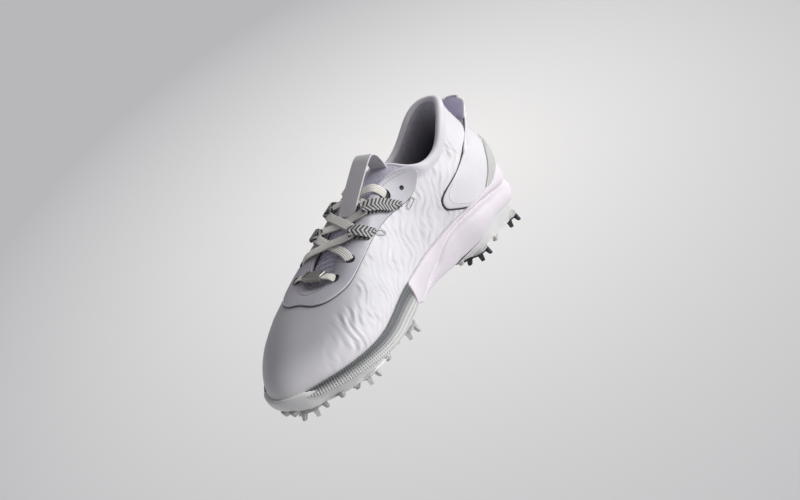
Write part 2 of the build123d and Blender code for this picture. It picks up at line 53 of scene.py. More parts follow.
CREASE = [(-8, 13), (8, 15.5), (17, 19), (32, 25.4), (44, 33.2), (55, 37.2), (74, 40.2),
          (90, 40.5), (107, 39), (130, 36), (150, 34)]
# Half rings of the upper: share of the way from heel to toe, foot line x, y, top line x, y, z.
MEDIAL_RING = [
    (0.00, 148.0, 0.5, 126.0, 0.0, 121.0), (0.05, 143.5, -15.0, 122.0, -11.0, 120.5),
    (0.11, 130.0, -27.5, 112.5, -19.0, 117.5), (0.19, 106.0, -33.0, 99.0, -24.0, 108.5),
    (0.28, 82.0, -34.0, 84.0, -26.5, 97.0), (0.36, 60.0, -30.5, 69.0, -27.0, 93.5),
    (0.43, 42.0, -29.0, 56.0, -25.5, 96.5), (0.49, 24.0, -28.0, 47.0, -21.5, 101.5),
    (0.55, 5.0, -29.5, 30.0, -15.5, 102.5), (0.62, -18.0, -34.0, 8.0, -13.8, 96.5),
    (0.70, -46.0, -44.5, -14.0, -13.5, 87.5), (0.78, -75.0, -52.0, -34.0, -13.2, 79.5),
    (0.86, -105.0, -47.0, -49.0, -12.0, 73.0), (0.93, -130.0, -33.0, -58.0, -8.0, 69.5),
    (1.00, -148.5, -9.0, -62.0, 0.0, 68.0)]
LATERAL_RING = [
    (0.00, 148.0, 0.5, 126.0, 0.0, 121.0), (0.05, 143.5, 16.0, 122.0, 11.0, 120.0),
    (0.11, 130.0, 29.0, 112.5, 18.0, 115.0), (0.19, 106.0, 36.0, 99.0, 22.5, 104.0),
    (0.28, 82.0, 37.2, 84.0, 25.0, 94.5), (0.36, 60.0, 37.0, 69.0, 25.5, 92.0),
    (0.43, 42.0, 37.3, 56.0, 24.5, 95.5), (0.49, 24.0, 38.8, 47.0, 21.5, 101.0),
    (0.55, 5.0, 42.0, 30.0, 16.0, 102.5), (0.62, -18.0, 46.0, 8.0, 14.0, 96.0),
    (0.70, -46.0, 49.5, -14.0, 13.5, 87.0), (0.78, -72.0, 50.0, -34.0, 13.2, 79.5),
    (0.86, -103.0, 40.0, -49.0, 12.0, 73.0), (0.93, -130.0, 21.0, -58.0, 8.0, 69.5),
    (1.00, -148.5, -9.0, -62.0, 0.0, 68.0)]
FOOT_INSET = 2.2
FOOT_DROP = 3.0
TAG_HOLLOW = 2.7    # how far the vamp is lowered so that the sliding lace tag clears it


def smooth(knots):
    """A smooth curve through (x, value) knots that never overshoots them."""
    xs, ys = np.array(knots, float).T
    steps = np.diff(ys) / np.diff(xs)
    inner = np.zeros(len(xs) - 2)
    same = steps[:-1] * steps[1:] > 0
    both = steps[:-1] + steps[1:]
    inner[same] = 2 * (steps[:-1] * steps[1:])[same] / both[same]
    slopes = np.concatenate([[steps[0]], inner, [steps[-1]]])

    def value(x):
        x = np.clip(np.asarray(x, float), xs[0], xs[-1])
        i = np.clip(np.searchsorted(xs, x, side="right") - 1, 0, len(xs) - 2)
        h = xs[i + 1] - xs[i]
        t = (x - xs[i]) / h
        bend = h * t * (1 - t) * ((1 - t) * slopes[i] - t * slopes[i + 1])
        return ys[i] + (ys[i + 1] - ys[i]) * t * t * (3 - 2 * t) + bend

    return value


def ring_spline(params, rows):
    """A closed cubic spline of vectors over a parameter that runs from 0 to 1."""
    params = np.asarray(params, float)
    rows = np.asarray(rows, float)
    n = len(params) - 1
    h = np.diff(params)
    slope = np.diff(rows, axis=0) / h[:, None]
    system = np.zeros((n, n))
    right = np.zeros((n, rows.shape[1]))
    for i in range(n):
        before = h[i - 1]
        system[i, i - 1] += before
        system[i, i] += 2 * (before + h[i])
        system[i, (i + 1) % n] += h[i]
        right[i] = 6 * (slope[i] - slope[i - 1])
    bends = np.linalg.solve(system, right)
    bends = np.vstack([bends, bends[:1]])

    def value(t):
        t = np.asarray(t, float) % 1.0
        i = np.clip(np.searchsorted(params, t, side="right") - 1, 0, n - 1)
        a = (params[i + 1] - t)[..., None]
        b = (t - params[i])[..., None]
        w = h[i][..., None]
        first = bends[i] * a ** 3 + bends[i + 1] * b ** 3
        second = (rows[i] / w - bends[i] * w / 6) * a
        third = (rows[i + 1] / w - bends[i + 1] * w / 6) * b
        return first / (6 * w) + second + third

    return value


def closed_ring(medial_rows, lateral_rows):
    """Joins two heel-to-toe halves into one ring: medial to 0.5, then lateral back."""
    params = [r[0] / 2 for r in medial_rows] + [1 - r[0] / 2 for r in lateral_rows[-2::-1]]
    rows = [r[1:] for r in medial_rows] + [r[1:] for r in lateral_rows[-2::-1]]
    return ring_spline(params, rows)


RING = closed_ring(MEDIAL_RING, LATERAL_RING)
sole_line, sole_bottom, rand_bottom = smooth(SOLE_LINE), smooth(SOLE_BOTTOM), smooth(RAND_BOTTOM)
heel_wall, crease_height = smooth(HEEL_WALL), smooth(CREASE)


def ease(x):
    x = np.clip(x, 0.0, 1.0)
    return x * x * (3 - 2 * x)


def stack(*parts):
    return np.stack(np.broadcast_arrays(*parts), -1)


def outline_at(t):
    """A point of the sole's plan outline, as (x, y), and the outward normal there."""
    step = 1e-3
    here = RING(t)[..., :2]
    along = RING(t + step)[..., :2] - RING(t - step)[..., :2]
    out = np.stack([-along[..., 1], along[..., 0]], -1)
    return here, out / np.linalg.norm(out, axis=-1, keepdims=True)


def to_toe(t):
    t = np.asarray(t, float) % 1.0
    return np.where(t < 0.5, 2 * t, 2 - 2 * t)


def surface(t, v):
    """The upper's smooth outer surface: v is 0 on the foot line and 1 on the top line."""
    t, v = np.broadcast_arrays(np.asarray(t, float), np.asarray(v, float))
    here, out = outline_at(t)
    zero = np.zeros(t.shape)
    normal = stack(out[..., 0], out[..., 1], zero)
    foot = stack(here[..., 0], here[..., 1], sole_line(here[..., 0]) - FOOT_DROP)
    foot = foot - normal * FOOT_INSET
    top = RING(t)[..., 2:5]
    rise = (top - foot)[..., 2:3]
    up = np.array([0.0, 0.0, 1.0])
    share = to_toe(t)[..., None]
    toe = ease((share - 0.72) / 0.28)
    low = foot + normal * (3.0 + 2.5 * toe) + up * (0.46 * rise)
    flat = np.array([1.0, 1.0, 0.0])
    inward = (foot - top) * flat
    vamp = ease((share - 0.44) / 0.2)
    side = top + normal * 3.0 - up * (0.35 * rise)
    over = top + inward * 0.5 - up * (0.08 * rise)
    high = side * (1 - vamp) + over * vamp
    v = v[..., None]
    w = 1 - v
    skin = foot * w ** 3 + 3 * low * v * w ** 2 + 3 * high * v * v * w + top * v ** 3
    hollow = np.exp(-((skin[..., 0:1] + 59) / 11) ** 2 - (skin[..., 1:2] / 24) ** 2)
    return skin - up * (TAG_HOLLOW * hollow * ease((v - 0.35) / 0.3))


def surface_normal(t, v):
    step = 2e-3
    a = surface(t + step, v) - surface(t - step, v)
    b = surface(t, np.minimum(v + step, 1.0)) - surface(t, np.maximum(v - step, 0.0))
    n = np.cross(b, a)
    return n / np.maximum(np.linalg.norm(n, axis=-1, keepdims=True), 1e-9)


# ---- materials -------------------------------------------------------------------------
def srgb(r, g, b):
    """A screen colour as the renderer's linear colour."""
    def linear(c):
        c /= 255
        return c / 12.92 if c <= 0.04045 else ((c + 0.055) / 1.055) ** 2.4

    return linear(r), linear(g), linear(b), 1.0


class Paint:
    """A small builder for one procedural material."""

    def __init__(self, name, **sockets):
        self.mat = bpy.data.materials.new(name)
        self.mat.use_nodes = True
        self.tree = self.mat.node_tree
        self.shader = self.tree.nodes["Principled BSDF"]
        for key, value in sockets.items():
            self.shader.inputs[key.replace("_", " ")].default_value = value
        self.height = None

    def node(self, kind, links=(), **values):
        made = self.tree.nodes.new(kind)
        for key, value in values.items():
            if hasattr(made, key):
                setattr(made, key, value)
            else:
                made.inputs[key.replace("_", " ")].default_value = value
        for socket, source in dict(links).items():
            self.tree.links.new(source, made.inputs[socket])
        return made

    def place(self, kind="Object"):
        return self.node("ShaderNodeTexCoord").outputs[kind]

    def math(self, operation, a, b=0.5):
        made = self.tree.nodes.new("ShaderNodeMath")
        made.operation = operation
        for i, value in enumerate((a, b)):
            if isinstance(value, (int, float)):
                made.inputs[i].default_value = value
            else:
                self.tree.links.new(value, made.inputs[i])
        return made.outputs[0]

    def noise(self, scale, detail=3.0, kind="Object"):
        made = self.node("ShaderNodeTexNoise", {"Vector": self.place(kind)},
                         Scale=scale, Detail=detail)
        return made.outputs["Fac"]

    def axes(self, kind="Object"):
        return self.node("ShaderNodeSeparateXYZ", {"Vector": self.place(kind)}).outputs

    def mark(self, name):
        return self.node("ShaderNodeAttribute", attribute_name=name).outputs["Fac"]

    def mix(self, factor, a, b):
        made = self.tree.nodes.new("ShaderNodeMix")
        made.data_type = "RGBA"
        sockets = [k for k in made.inputs if k.type == "RGBA"]
        for socket, value in zip(sockets, (a, b)):
            if isinstance(value, tuple):
                socket.default_value = value
            else:
                self.tree.links.new(value, socket)
        self.tree.links.new(factor, made.inputs[0])
        return [k for k in made.outputs if k.type == "RGBA"][0]

    def ramp(self, factor, low, high):
        made = self.node("ShaderNodeMapRange", {"Value": factor}, clamp=True,
                         From_Min=low, From_Max=high)
        return made.outputs[0]

    def colour(self, source):
        self.tree.links.new(source, self.shader.inputs["Base Color"])

    def rough(self, factor, low, high):
        made = self.node("ShaderNodeMapRange", {"Value": factor}, To_Min=low, To_Max=high)
        self.tree.links.new(made.outputs[0], self.shader.inputs["Roughness"])

    def bump(self, height, distance, strength=1.0):
        made = self.node("ShaderNodeBump", {"Height": height}, Distance=distance,
                         Strength=strength)
        if self.height is not None:
            self.tree.links.new(self.height, made.inputs["Normal"])
        self.height = made.outputs[0]
        self.tree.links.new(self.height, self.shader.inputs["Normal"])


def plain_finish(name, light, dark, rough, grain=900.0, depth=0.00006, **sockets):
    """Two close tones in soft clouds, a fine grain and a roughness that varies."""
    paint = Paint(name, Roughness=rough, **sockets)
    clouds = paint.ramp(paint.noise(38.0), 0.35, 0.65)
    paint.colour(paint.mix(clouds, srgb(*light), srgb(*dark)))
    grains = paint.noise(grain, 2.0)
    paint.rough(grains, rough - 0.06, rough + 0.08)
    paint.bump(grains, depth)
    return paint


def knit_finish(name, light, dark, pitch, depth, rough=0.85):
    """A fine knitted cloth: columns of crossed waves over two tones."""
    paint = Paint(name, Roughness=rough, Sheen_Weight=0.25)
    parts = paint.axes()
    across = paint.math("SINE", paint.math("MULTIPLY", parts[0], 2 * math.pi / pitch))
    along = paint.math("SINE", paint.math("MULTIPLY", parts[2], 2 * math.pi / pitch))
    weave = paint.math("MULTIPLY", across, along)
    specks = paint.ramp(paint.noise(420.0, 4.0), 0.3, 0.7)
    both = paint.math("ADD", paint.math("MULTIPLY", weave, 0.25), specks)
    paint.colour(paint.mix(paint.ramp(both, 0.1, 0.9), srgb(*dark), srgb(*light)))
    paint.bump(both, depth)
    return paint


def upper_finish():
    """White satin film over knit, greyer and mottled towards the collar; painted shade greys the
    vamp and the toe and darkens the ripples' furrows.
    """
    paint = Paint("upper_film", Roughness=0.42, Sheen_Weight=0.12)
    base = paint.mix(paint.ramp(paint.noise(30.0), 0.35, 0.65), srgb(236, 234, 237),
                     srgb(226, 224, 228))
    zone = paint.mark("knit")
    specks = paint.ramp(paint.noise(600.0, 5.0), 0.35, 0.65)
    knit = paint.mix(specks, srgb(186, 183, 194), srgb(208, 205, 215))
    # Painted shade: the vamp and the toe are painted pale grey.
    front = paint.mark("front")
    base = paint.mix(front, base, srgb(190, 189, 194))
    # Painted shade: the ripples' furrows are painted darker than their crests.
    low = paint.mark("ripple")
    shaded = paint.mix(paint.ramp(low, 0.0, 1.0), srgb(205, 203, 207), base)
    paint.colour(paint.mix(zone, shaded, knit))
    grain = paint.noise(1400.0, 2.0)
    paint.rough(grain, 0.36, 0.52)
    paint.bump(grain, 0.00004)
    return paint.mat


def lining_finish():
    """Brushed collar cloth, with painted shade darkening it towards the footbed."""
    paint = Paint("lining_cloth", Roughness=0.85, Sheen_Weight=0.2)
    nap = paint.ramp(paint.noise(260.0, 4.0), 0.3, 0.7)
    cloth = paint.mix(nap, srgb(196, 192, 202), srgb(178, 174, 186))
    deep = paint.mark("depth")
    # Painted shade: the cloth turns near-black deeper down the pocket, where light does not
    # reach.
    paint.colour(paint.mix(paint.ramp(deep, 0.15, 0.95), cloth, srgb(66, 64, 74)))
    paint.bump(paint.noise(1600.0), 0.00008)
    return paint.mat


def herringbone_finish():
    """Webbing in a V weave of silver and near-black yarn, from the strip's own grid."""
    paint = Paint("herringbone_webbing", Roughness=0.62)
    parts = paint.axes("UV")
    fold = paint.math("ABSOLUTE", paint.math("SUBTRACT", parts[1], 0.5))
    slant = paint.math("ADD", paint.math("MULTIPLY", parts[0], 0.31),
                       paint.math("MULTIPLY", fold, -2.1))
    band = paint.math("PINGPONG", slant, 0.5)
    stripe = paint.ramp(band, 0.17, 0.29)
    yarn = paint.ramp(paint.noise(900.0), 0.3, 0.7)
    silver = paint.mix(yarn, srgb(196, 195, 194), srgb(160, 159, 158))
    paint.colour(paint.mix(stripe, srgb(52, 52, 55), silver))
    paint.bump(stripe, 0.0003)
    return paint.mat


def ribbed_finish(name, light, dark, ribs, depth, rough, share=0.5, axis=1, **sockets):
    """Parallel ribs over the piece's own grid, darker in the furrows."""
    paint = Paint(name, Roughness=rough, **sockets)
    parts = paint.axes("UV")
    turn = paint.math("MULTIPLY", parts[axis], 2 * math.pi * ribs)
    wave = paint.math("ADD", paint.math("MULTIPLY", paint.math("SINE", turn), 0.5), 0.5)
    cloth = paint.noise(1100.0, 3.0)
    both = paint.math("ADD", paint.math("MULTIPLY", wave, share),
                      paint.math("MULTIPLY", cloth, 1 - share))
    paint.colour(paint.mix(paint.ramp(both, 0.15, 0.8), srgb(*dark), srgb(*light)))
    paint.bump(both, depth)
    return paint


def rand_finish():
    """Grey ribbed rubber, with painted shade in the hollow above and painted light on the flared
    lip.
    """
    paint = Paint("rand_rubber", Roughness=0.5)
    parts = paint.axes("UV")
    ribs = paint.math("SINE", paint.math("MULTIPLY", parts[0], 2 * math.pi / 2.1))
    rows = paint.math("SINE", paint.math("MULTIPLY", parts[1], 2 * math.pi * 7))
    hatch = paint.math("MAXIMUM", ribs, rows)
    # Painted shade and light: darker up the wall into the hollow, paler down on the lip.
    shade = paint.ramp(parts[1], 0.3, 0.62)
    tone = paint.mix(shade, srgb(218, 218, 216), srgb(126, 128, 130))
    lines = paint.ramp(hatch, -0.4, 0.9)
    dark = paint.mix(shade, srgb(176, 177, 176), srgb(92, 95, 98))
    paint.colour(paint.mix(lines, dark, tone))
    paint.bump(hatch, 0.00025)
    return paint.mat


def metal_finish():
    """Brushed dark nickel."""
    paint = Paint("brushed_nickel", Roughness=0.34, Metallic=1.0)
    stretch = paint.node("ShaderNodeMapping", {"Vector": paint.place()})
    stretch.inputs["Scale"].default_value = (2600.0, 60.0, 900.0)
    lines = paint.node("ShaderNodeTexNoise", {"Vector": stretch.outputs[0]})
    lines.inputs["Scale"].default_value = 1.0
    brushed = lines.outputs["Fac"]
    paint.colour(paint.mix(brushed, srgb(142, 137, 131), srgb(198, 193, 187)))
    paint.rough(brushed, 0.24, 0.46)
    paint.bump(brushed, 0.00003)
    return paint.mat


def clear_finish(name, light, dark, weight):
    """Milky clear plastic that lets some light through."""
    paint = plain_finish(name, light, dark, 0.3, grain=1500.0, depth=0.00001)
    paint.shader.inputs["Transmission Weight"].default_value = weight
    paint.shader.inputs["IOR"].default_value = 1.49
    paint.shader.inputs["Subsurface Weight"].default_value = 0.1
    paint.shader.inputs["Subsurface Radius"].default_value = (0.004, 0.004, 0.004)
    paint.shader.inputs["Subsurface Scale"].default_value = 1.0
    return paint.mat


MATS = {
    "upper": upper_finish(),
    "foam": plain_finish("midsole_foam", (238, 231, 237), (229, 222, 229), 0.5,
                         grain=1500.0).mat,
    "overlay": plain_finish("heel_film", (240, 238, 241), (232, 230, 234), 0.24,
                            depth=0.00002, Coat_Weight=0.35).mat,
    "eyestay": plain_finish("eyestay_film", (196, 193, 201), (182, 179, 188), 0.38,
                            grain=1300.0).mat,
    "edge_light": plain_finish("trim_light", (232, 231, 234), (215, 214, 218), 0.5).mat,
    # A dark cord drawn as painted shadow along the edges of the heel panel and the lace panel.
    "painted_line_shade": plain_finish("painted_shadow_line", (62, 61, 68), (46, 45, 52), 0.6).mat,
    # Painted shade for the eyelet holes' openings.
    "black": plain_finish("eyelet_hole_painted_shade", (20, 20, 22), (9, 9, 11), 0.55).mat,
    "collar": plain_finish("collar_cloth", (234, 231, 236), (220, 217, 223), 0.62,
                           grain=2200.0, depth=0.0001, Sheen_Weight=0.3).mat,
    "lining": lining_finish(),
    "inner": knit_finish("inner_cloth", (104, 102, 112), (88, 86, 96), 0.0018,
                         0.0001).mat,
    "tongue": knit_finish("tongue_cloth", (208, 204, 220), (176, 172, 190), 0.0015,
                          0.00012).mat,
    "lavender": plain_finish("tab_lavender", (214, 206, 231), (203, 195, 223), 0.55,
                             Sheen_Weight=0.2).mat,
    "clip": ribbed_finish("clip_plastic", (218, 218, 214), (188, 189, 187), 34, 0.0003,
                          0.42, share=0.8, axis=0).mat,
    "rand": rand_finish(),
    "strap": ribbed_finish("strap_webbing", (234, 231, 233), (206, 204, 209), 9, 0.00015,
                           0.75, share=0.35).mat,
    "webbing": herringbone_finish(),
    "lace": ribbed_finish("lace_cotton", (250, 247, 240), (216, 212, 204), 5, 0.0004,
                          0.8, share=0.6, Sheen_Weight=0.3).mat,
    "thread": plain_finish("thread", (150, 147, 156), (120, 118, 128), 0.7).mat,
    "thread_white": plain_finish("thread_white", (206, 203, 208), (188, 185, 192),
                                 0.7).mat,
    "metal": metal_finish(),
    "tpu": clear_finish("outsole_tpu", (240, 239, 238), (230, 230, 229), 0.0),
    "spike_clear": clear_finish("spike_clear", (232, 232, 230), (210, 211, 211), 0.3),
    "spike_dark": plain_finish("spike_slate", (60, 68, 76), (40, 47, 55), 0.36,
                               grain=700.0).mat,
    "board": plain_finish("board_felt", (170, 168, 160), (150, 148, 141), 0.9).mat,
    "stiffener": plain_finish("stiffener", (205, 200, 188), (186, 181, 170), 0.7).mat,
    "shank": plain_finish("shank_nylon", (90, 92, 96), (70, 72, 76), 0.5).mat,
}


# ---- mesh tools ------------------------------------------------------------------------
def grid_faces(rows, columns, wrap_rows=False, wrap_columns=False, start=0):
    """Quads over a rows x columns grid of points."""
    i = np.arange(rows if wrap_rows else rows - 1)
    j = np.arange(columns if wrap_columns else columns - 1)
    i, j = [k.ravel() for k in np.meshgrid(i, j, indexing="ij")]
    i2, j2 = (i + 1) % rows, (j + 1) % columns
    quads = np.stack([i * columns + j, i2 * columns + j, i2 * columns + j2,
                      i * columns + j2], 1)
    return quads + start


def build(name, points, faces, mat, slot, uv=None, marks=None, body=SHOE, stands=(),
          weld=False):
    """One visual piece from points in millimetres."""
    verts = (np.asarray(points).reshape(-1, 3) + SHIFT) / 1000.0
    mesh = bpy.data.meshes.new(name)
    mesh.from_pydata(verts.tolist(), [], [list(f) for f in faces])
    mesh.validate()
    if uv is not None:
        layer = mesh.uv_layers.new(name="Grid")
        index = np.empty(len(mesh.loops), np.int32)
        mesh.loops.foreach_get("vertex_index", index)
        flat = np.asarray(uv, np.float32).reshape(-1, 2)[index]
        layer.data.foreach_set("uv", flat.ravel())
    for key, values in (marks or {}).items():
        attribute = mesh.attributes.new(key, "FLOAT", "POINT")
        attribute.data.foreach_set("value", np.asarray(values, np.float32).ravel())
    mesh.polygons.foreach_set("use_smooth", np.ones(len(mesh.polygons), bool))
    mesh.materials.append(MATS[mat])
    piece = bpy.data.objects.new(name, mesh)
    bpy.context.collection.objects.link(piece)
    outward(mesh, weld)
    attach(piece, body)
    if stands:
        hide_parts(*stands)
    return piece


def outward(mesh, weld):
    """Turns every closed part's faces outwards, once points that meet are joined."""
    made = bmesh.new()
    made.from_mesh(mesh)
    if weld:
        bmesh.ops.remove_doubles(made, verts=made.verts, dist=2e-6)
    bmesh.ops.recalc_face_normals(made, faces=made.faces)
    made.to_mesh(mesh)
    made.free()


def normals_of(points, wrap=False):
    """Normals of a grid of points."""
    padded = np.concatenate([points[-2:-1], points, points[1:2]]) if wrap else points
    a = np.gradient(padded, axis=0)
    b = np.gradient(padded, axis=1)
    n = np.cross(a, b)
    n = n / np.maximum(np.linalg.norm(n, axis=-1, keepdims=True), 1e-9)
    return n[1:-1] if wrap else n


def slab(name, outer, inner, mat, slot, wrap=False, uv=None, marks=None, **more):
    """A closed sheet between an outer and an inner grid of points."""
    rows, columns = outer.shape[:2]
    ring = np.concatenate([outer, inner[:, ::-1]], axis=1)
    faces = [grid_faces(rows, 2 * columns, wrap, True)]
    if not wrap:
        for row in (0, rows - 1):
            j = np.arange(columns - 1)
            base = row * 2 * columns
            faces.append(np.stack([base + j, base + j + 1, base + 2 * columns - 2 - j,
                                   base + 2 * columns - 1 - j], 1))
    if uv is not None:
        uv = np.concatenate([uv, uv[:, ::-1]], axis=1)
    if marks:
        marks = {k: np.concatenate([m, m[:, ::-1]], axis=1) for k, m in marks.items()}
    return build(name, ring, np.concatenate(faces), mat, slot, uv, marks, **more)


def at(t, v, out=0.0):
    """A point of the upper's surface, moved outwards by out."""
    out = np.asarray(out, float)
    return surface(t, v) + surface_normal(t, v) * out[..., None]


def rim_round(share, width):
    """0 at both ends of 0..1, rising like a rounded edge to 1 within width."""
    near = np.minimum(share, 1 - share) / width
    near = np.clip(near, 0, 1)
    return np.sqrt(1 - (1 - near) ** 2)


def even(count):
    return np.linspace(0.0, 1.0, count)


def crowded(count):
    """0..1, closer together at both ends."""
    return (1 - np.cos(np.pi * even(count))) / 2


def through(points, count):
    """A smooth open curve through points, sampled evenly by its parameter."""
    p = np.asarray(points, float)
    p = np.vstack([2 * p[0] - p[1], p, 2 * p[-1] - p[-2]])
    gaps = np.maximum(np.linalg.norm(np.diff(p[:, :3], axis=0), axis=1), 1e-6) ** 0.5
    knots = np.concatenate([[0], np.cumsum(gaps)])
    u = np.linspace(knots[1], knots[-2], count)
    i = np.clip(np.searchsorted(knots, u, side="right") - 1, 1, len(p) - 3)
    k = [knots[i + d][:, None] for d in (-1, 0, 1, 2)]
    q = [p[i + d] for d in (-1, 0, 1, 2)]
    u = u[:, None]
    a = [(k[j + 1] - u) / (k[j + 1] - k[j]) * q[j] + (u - k[j]) / (k[j + 1] - k[j]) * q[j + 1]
         for j in range(3)]
    b = [(k[j + 2] - u) / (k[j + 2] - k[j]) * a[j] + (u - k[j]) / (k[j + 2] - k[j]) * a[j + 1]
         for j in range(2)]
    return (k[2] - u) / (k[2] - k[1]) * b[0] + (u - k[1]) / (k[2] - k[1]) * b[1]


def unit(v):
    return v / np.maximum(np.linalg.norm(v, axis=-1, keepdims=True), 1e-9)


def strip(path, sides, width, thick, around=20, square=0.55, taper=None):
    """Points and grid coordinates of a flat band swept along a path."""
    taper = np.ones(len(path)) if taper is None else taper
    tangent = unit(np.gradient(path, axis=0))
    side = unit(sides - (sides * tangent).sum(-1, keepdims=True) * tangent)
    up = np.cross(tangent, side)
    angle = 2 * np.pi * np.arange(around) / around
    a = np.sign(np.cos(angle)) * np.abs(np.cos(angle)) ** square * width / 2
    b = np.sign(np.sin(angle)) * np.abs(np.sin(angle)) ** square * thick / 2
    reach = a[None, :] * taper[:, None] + (1 - taper[:, None]) * width / 2
    points = path[:, None] + side[:, None] * reach[..., None] + up[:, None] * b[:, None]
    run = np.concatenate([[0], np.cumsum(np.linalg.norm(np.diff(path, axis=0), axis=1))])
    u = np.broadcast_to(run[:, None], points.shape[:2])
    v = np.broadcast_to(a / width + 0.5, points.shape[:2])
    return points, np.stack([u, v], -1)


def strips(name, bands, mat, slot, **more):
    """One piece made of several swept bands."""
    verts, faces, uvs, start = [], [], [], 0
    for points, uv in bands:
        rows, columns = points.shape[:2]
        faces += grid_faces(rows, columns, False, True, start).tolist()
        faces.append(list(range(start, start + columns)))
        faces.append(list(range(start + (rows - 1) * columns, start + rows * columns)))
        verts.append(points.reshape(-1, 3))
        uvs.append(uv.reshape(-1, 2))
        start += rows * columns
    return build(name, np.vstack(verts), faces, mat, slot, np.vstack(uvs), **more)


def cord_band(path, radius, around=8):
    """A thin round cord along a path."""
    tangent = unit(np.gradient(path, axis=0))
    side = np.cross(tangent, np.array([0.3, 0.2, 1.0]))
    return strip(path, side, 2 * radius, 2 * radius, around, 1.0)


def stitches(name, path, normals, pitch, length, radius, mat, slot):
    """A row of separate stitches that arch a little off the surface."""
    run = np.concatenate([[0], np.cumsum(np.linalg.norm(np.diff(path, axis=0), axis=1))])
    bands = []
    for begin in np.arange(0.0, run[-1] - length, pitch):
        s = begin + length * even(5)
        p = np.stack([np.interp(s, run, path[:, k]) for k in range(3)], -1)
        n = np.stack([np.interp(s, run, normals[:, k]) for k in range(3)], -1)
        lift = radius * np.array([-0.6, 0.5, 0.8, 0.5, -0.6])
        bands.append(cord_band(p + unit(n) * lift[:, None], radius, 6))
    return strips(name, bands, mat, slot)


# ---- upper -----------------------------------------------------------------------------
def ripple(points, t, v):
    """The flowing relief on the two sides: its height, and 0..1 from furrow to crest, by which
    the film is painted darker in the furrows as painted shade.
    """
    x, z = points[..., 0], points[..., 2]
    across = 0.84 * x - 0.54 * z
    along = 0.54 * x + 0.84 * z
    bend = 2.3 * np.sin(along / 7.5 + 0.05 * across) + 1.2 * np.sin(along / 3.7 + across / 11)
    bend = bend + 1.6 * np.sin(along / 13.0 - across / 19 + 1.3)
    bend = bend + 1.3 * np.sin(along / 5.3 - across / 6.1 + 0.4)
    wave = np.sin(2 * np.pi * (across + bend) / 6.6)
    fine = np.sin(2 * np.pi * (across + 1.5 * bend + 0.4 * along) / 4.1 + 1.1)
    swell = 0.55 + 0.45 * np.sin(across / 7.0 + along / 5.5) * np.sin(along / 11 - across / 9)
    share = to_toe(t)
    zone = ease((share - 0.14) / 0.1) * (1 - ease((share - 0.80) / 0.13))
    low = ease((v - 0.02) / 0.06)
    high = 1 - ease((v - (0.62 - 0.2 * ease((share - 0.62) / 0.2))) / 0.16)
    collar = 1 - ease((v - 0.9) / 0.08)
    high = high + (collar - high) * (1 - ease((share - 0.38) / 0.08))
    strength = zone * low * np.clip(high, 0, 1)
    front = ease((share - 0.5) / 0.2)
    shape = (0.7 * wave + 0.3 * fine) * swell
    return (0.55 + 0.25 * front) * strength * shape, 1 - strength * np.clip(-shape, 0, 1)


def knit_zone(t, v):
    """Where the collar's mottled knit shows: in front of the ankle, above the panel."""
    share = to_toe(t)
    front = ease((share - 0.36) / 0.06) * (1 - ease((share - 0.6) / 0.06))
    return front * ease((v - 0.8) / 0.1)


def front_painted_shade(t, v):
    """Painted shade: where the film is painted from white to pale grey, over the vamp and the
    toe.
    """
    share = to_toe(t)
    return ease((share - 0.56) / 0.3) * ease((v - 0.1) / 0.4)


def make_upper():
    t = np.arange(760) / 760.0
    v = np.linspace(0, 1, 76)
    T, V = np.meshgrid(t, v, indexing="ij")
    base = surface(T, V)
    n = surface_normal(T, V)
    # mark is lower in the furrows; the film is painted darker by it as painted shade.
    height, mark = ripple(base, T, V)
    outer = base + n * height[..., None]
    inner = base - n * 1.5
    # The ripple and front marks carry painted shade: darker furrows, and a greyer vamp and toe.
    marks = {"knit": knit_zone(T, V), "ripple": mark, "front": front_painted_shade(T, V)}
    slab("upper", outer, inner, "upper", "upper_white", wrap=True, marks=marks,
         stands=("upper_shell",))


def ring_panel(name, v0, v1, out0, out1, mat, slot, stands, t0=None, t1=None):
    """A layer of the upper between two depths, all the way round or between t0 and t1."""
    whole = t0 is None
    t = np.arange(240) / 240.0 if whole else np.linspace(t0, t1, 90)
    v = np.linspace(v0, v1, 26)
    T, V = np.meshgrid(t, v, indexing="ij")
    slab(name, at(T, V, np.full(T.shape, out1)), at(T, V, np.full(T.shape, out0)), mat,
         slot, wrap=whole, stands=stands)


make_upper()
ring_panel("lining", 0.03, 0.985, -3.2, -2.4, "inner", "lining_textile",
           ("upper_lining",))
ring_panel("toe_stiffener", 0.04, 0.5, -2.3, -1.6, "stiffener", "stiffener",
           ("toe_puff",), 0.41, 0.59)
ring_panel("heel_stiffener", 0.04, 0.55, -2.3, -1.6, "stiffener", "stiffener",
           ("heel_counter",), -0.11, 0.11)


# ---- collar ----------------------------------------------------------------------------
COLLAR = [(126, 0, 121), (122, -11, 120.5), (112.5, -19, 117.5), (99, -24, 108.5),
          (84, -26.5, 97.5), (69, -27, 94), (57, -25.5, 96.5), (50, -19.5, 100.5),
          (47.3, -10, 104), (46.8, 0, 105), (47.3, 10, 104), (50, 18.5, 100.5),
          (57, 24, 96), (69, 25.5, 92.5), (84, 25, 95), (99, 22.5, 104.5),
          (112.5, 18, 115.5), (122, 11, 120.2)]
ROLL = [(0.4, -9), (1.2, -5), (1.3, -1.8), (0.2, 0.6), (-1.6, 1.3), (-3.6, 0.7), (-5.2, -1.6)]
POCKET = [(-3.9, -0.2), (-5.6, -3), (-7.6, -10), (-7.6, -22), (-5.0, -40)]


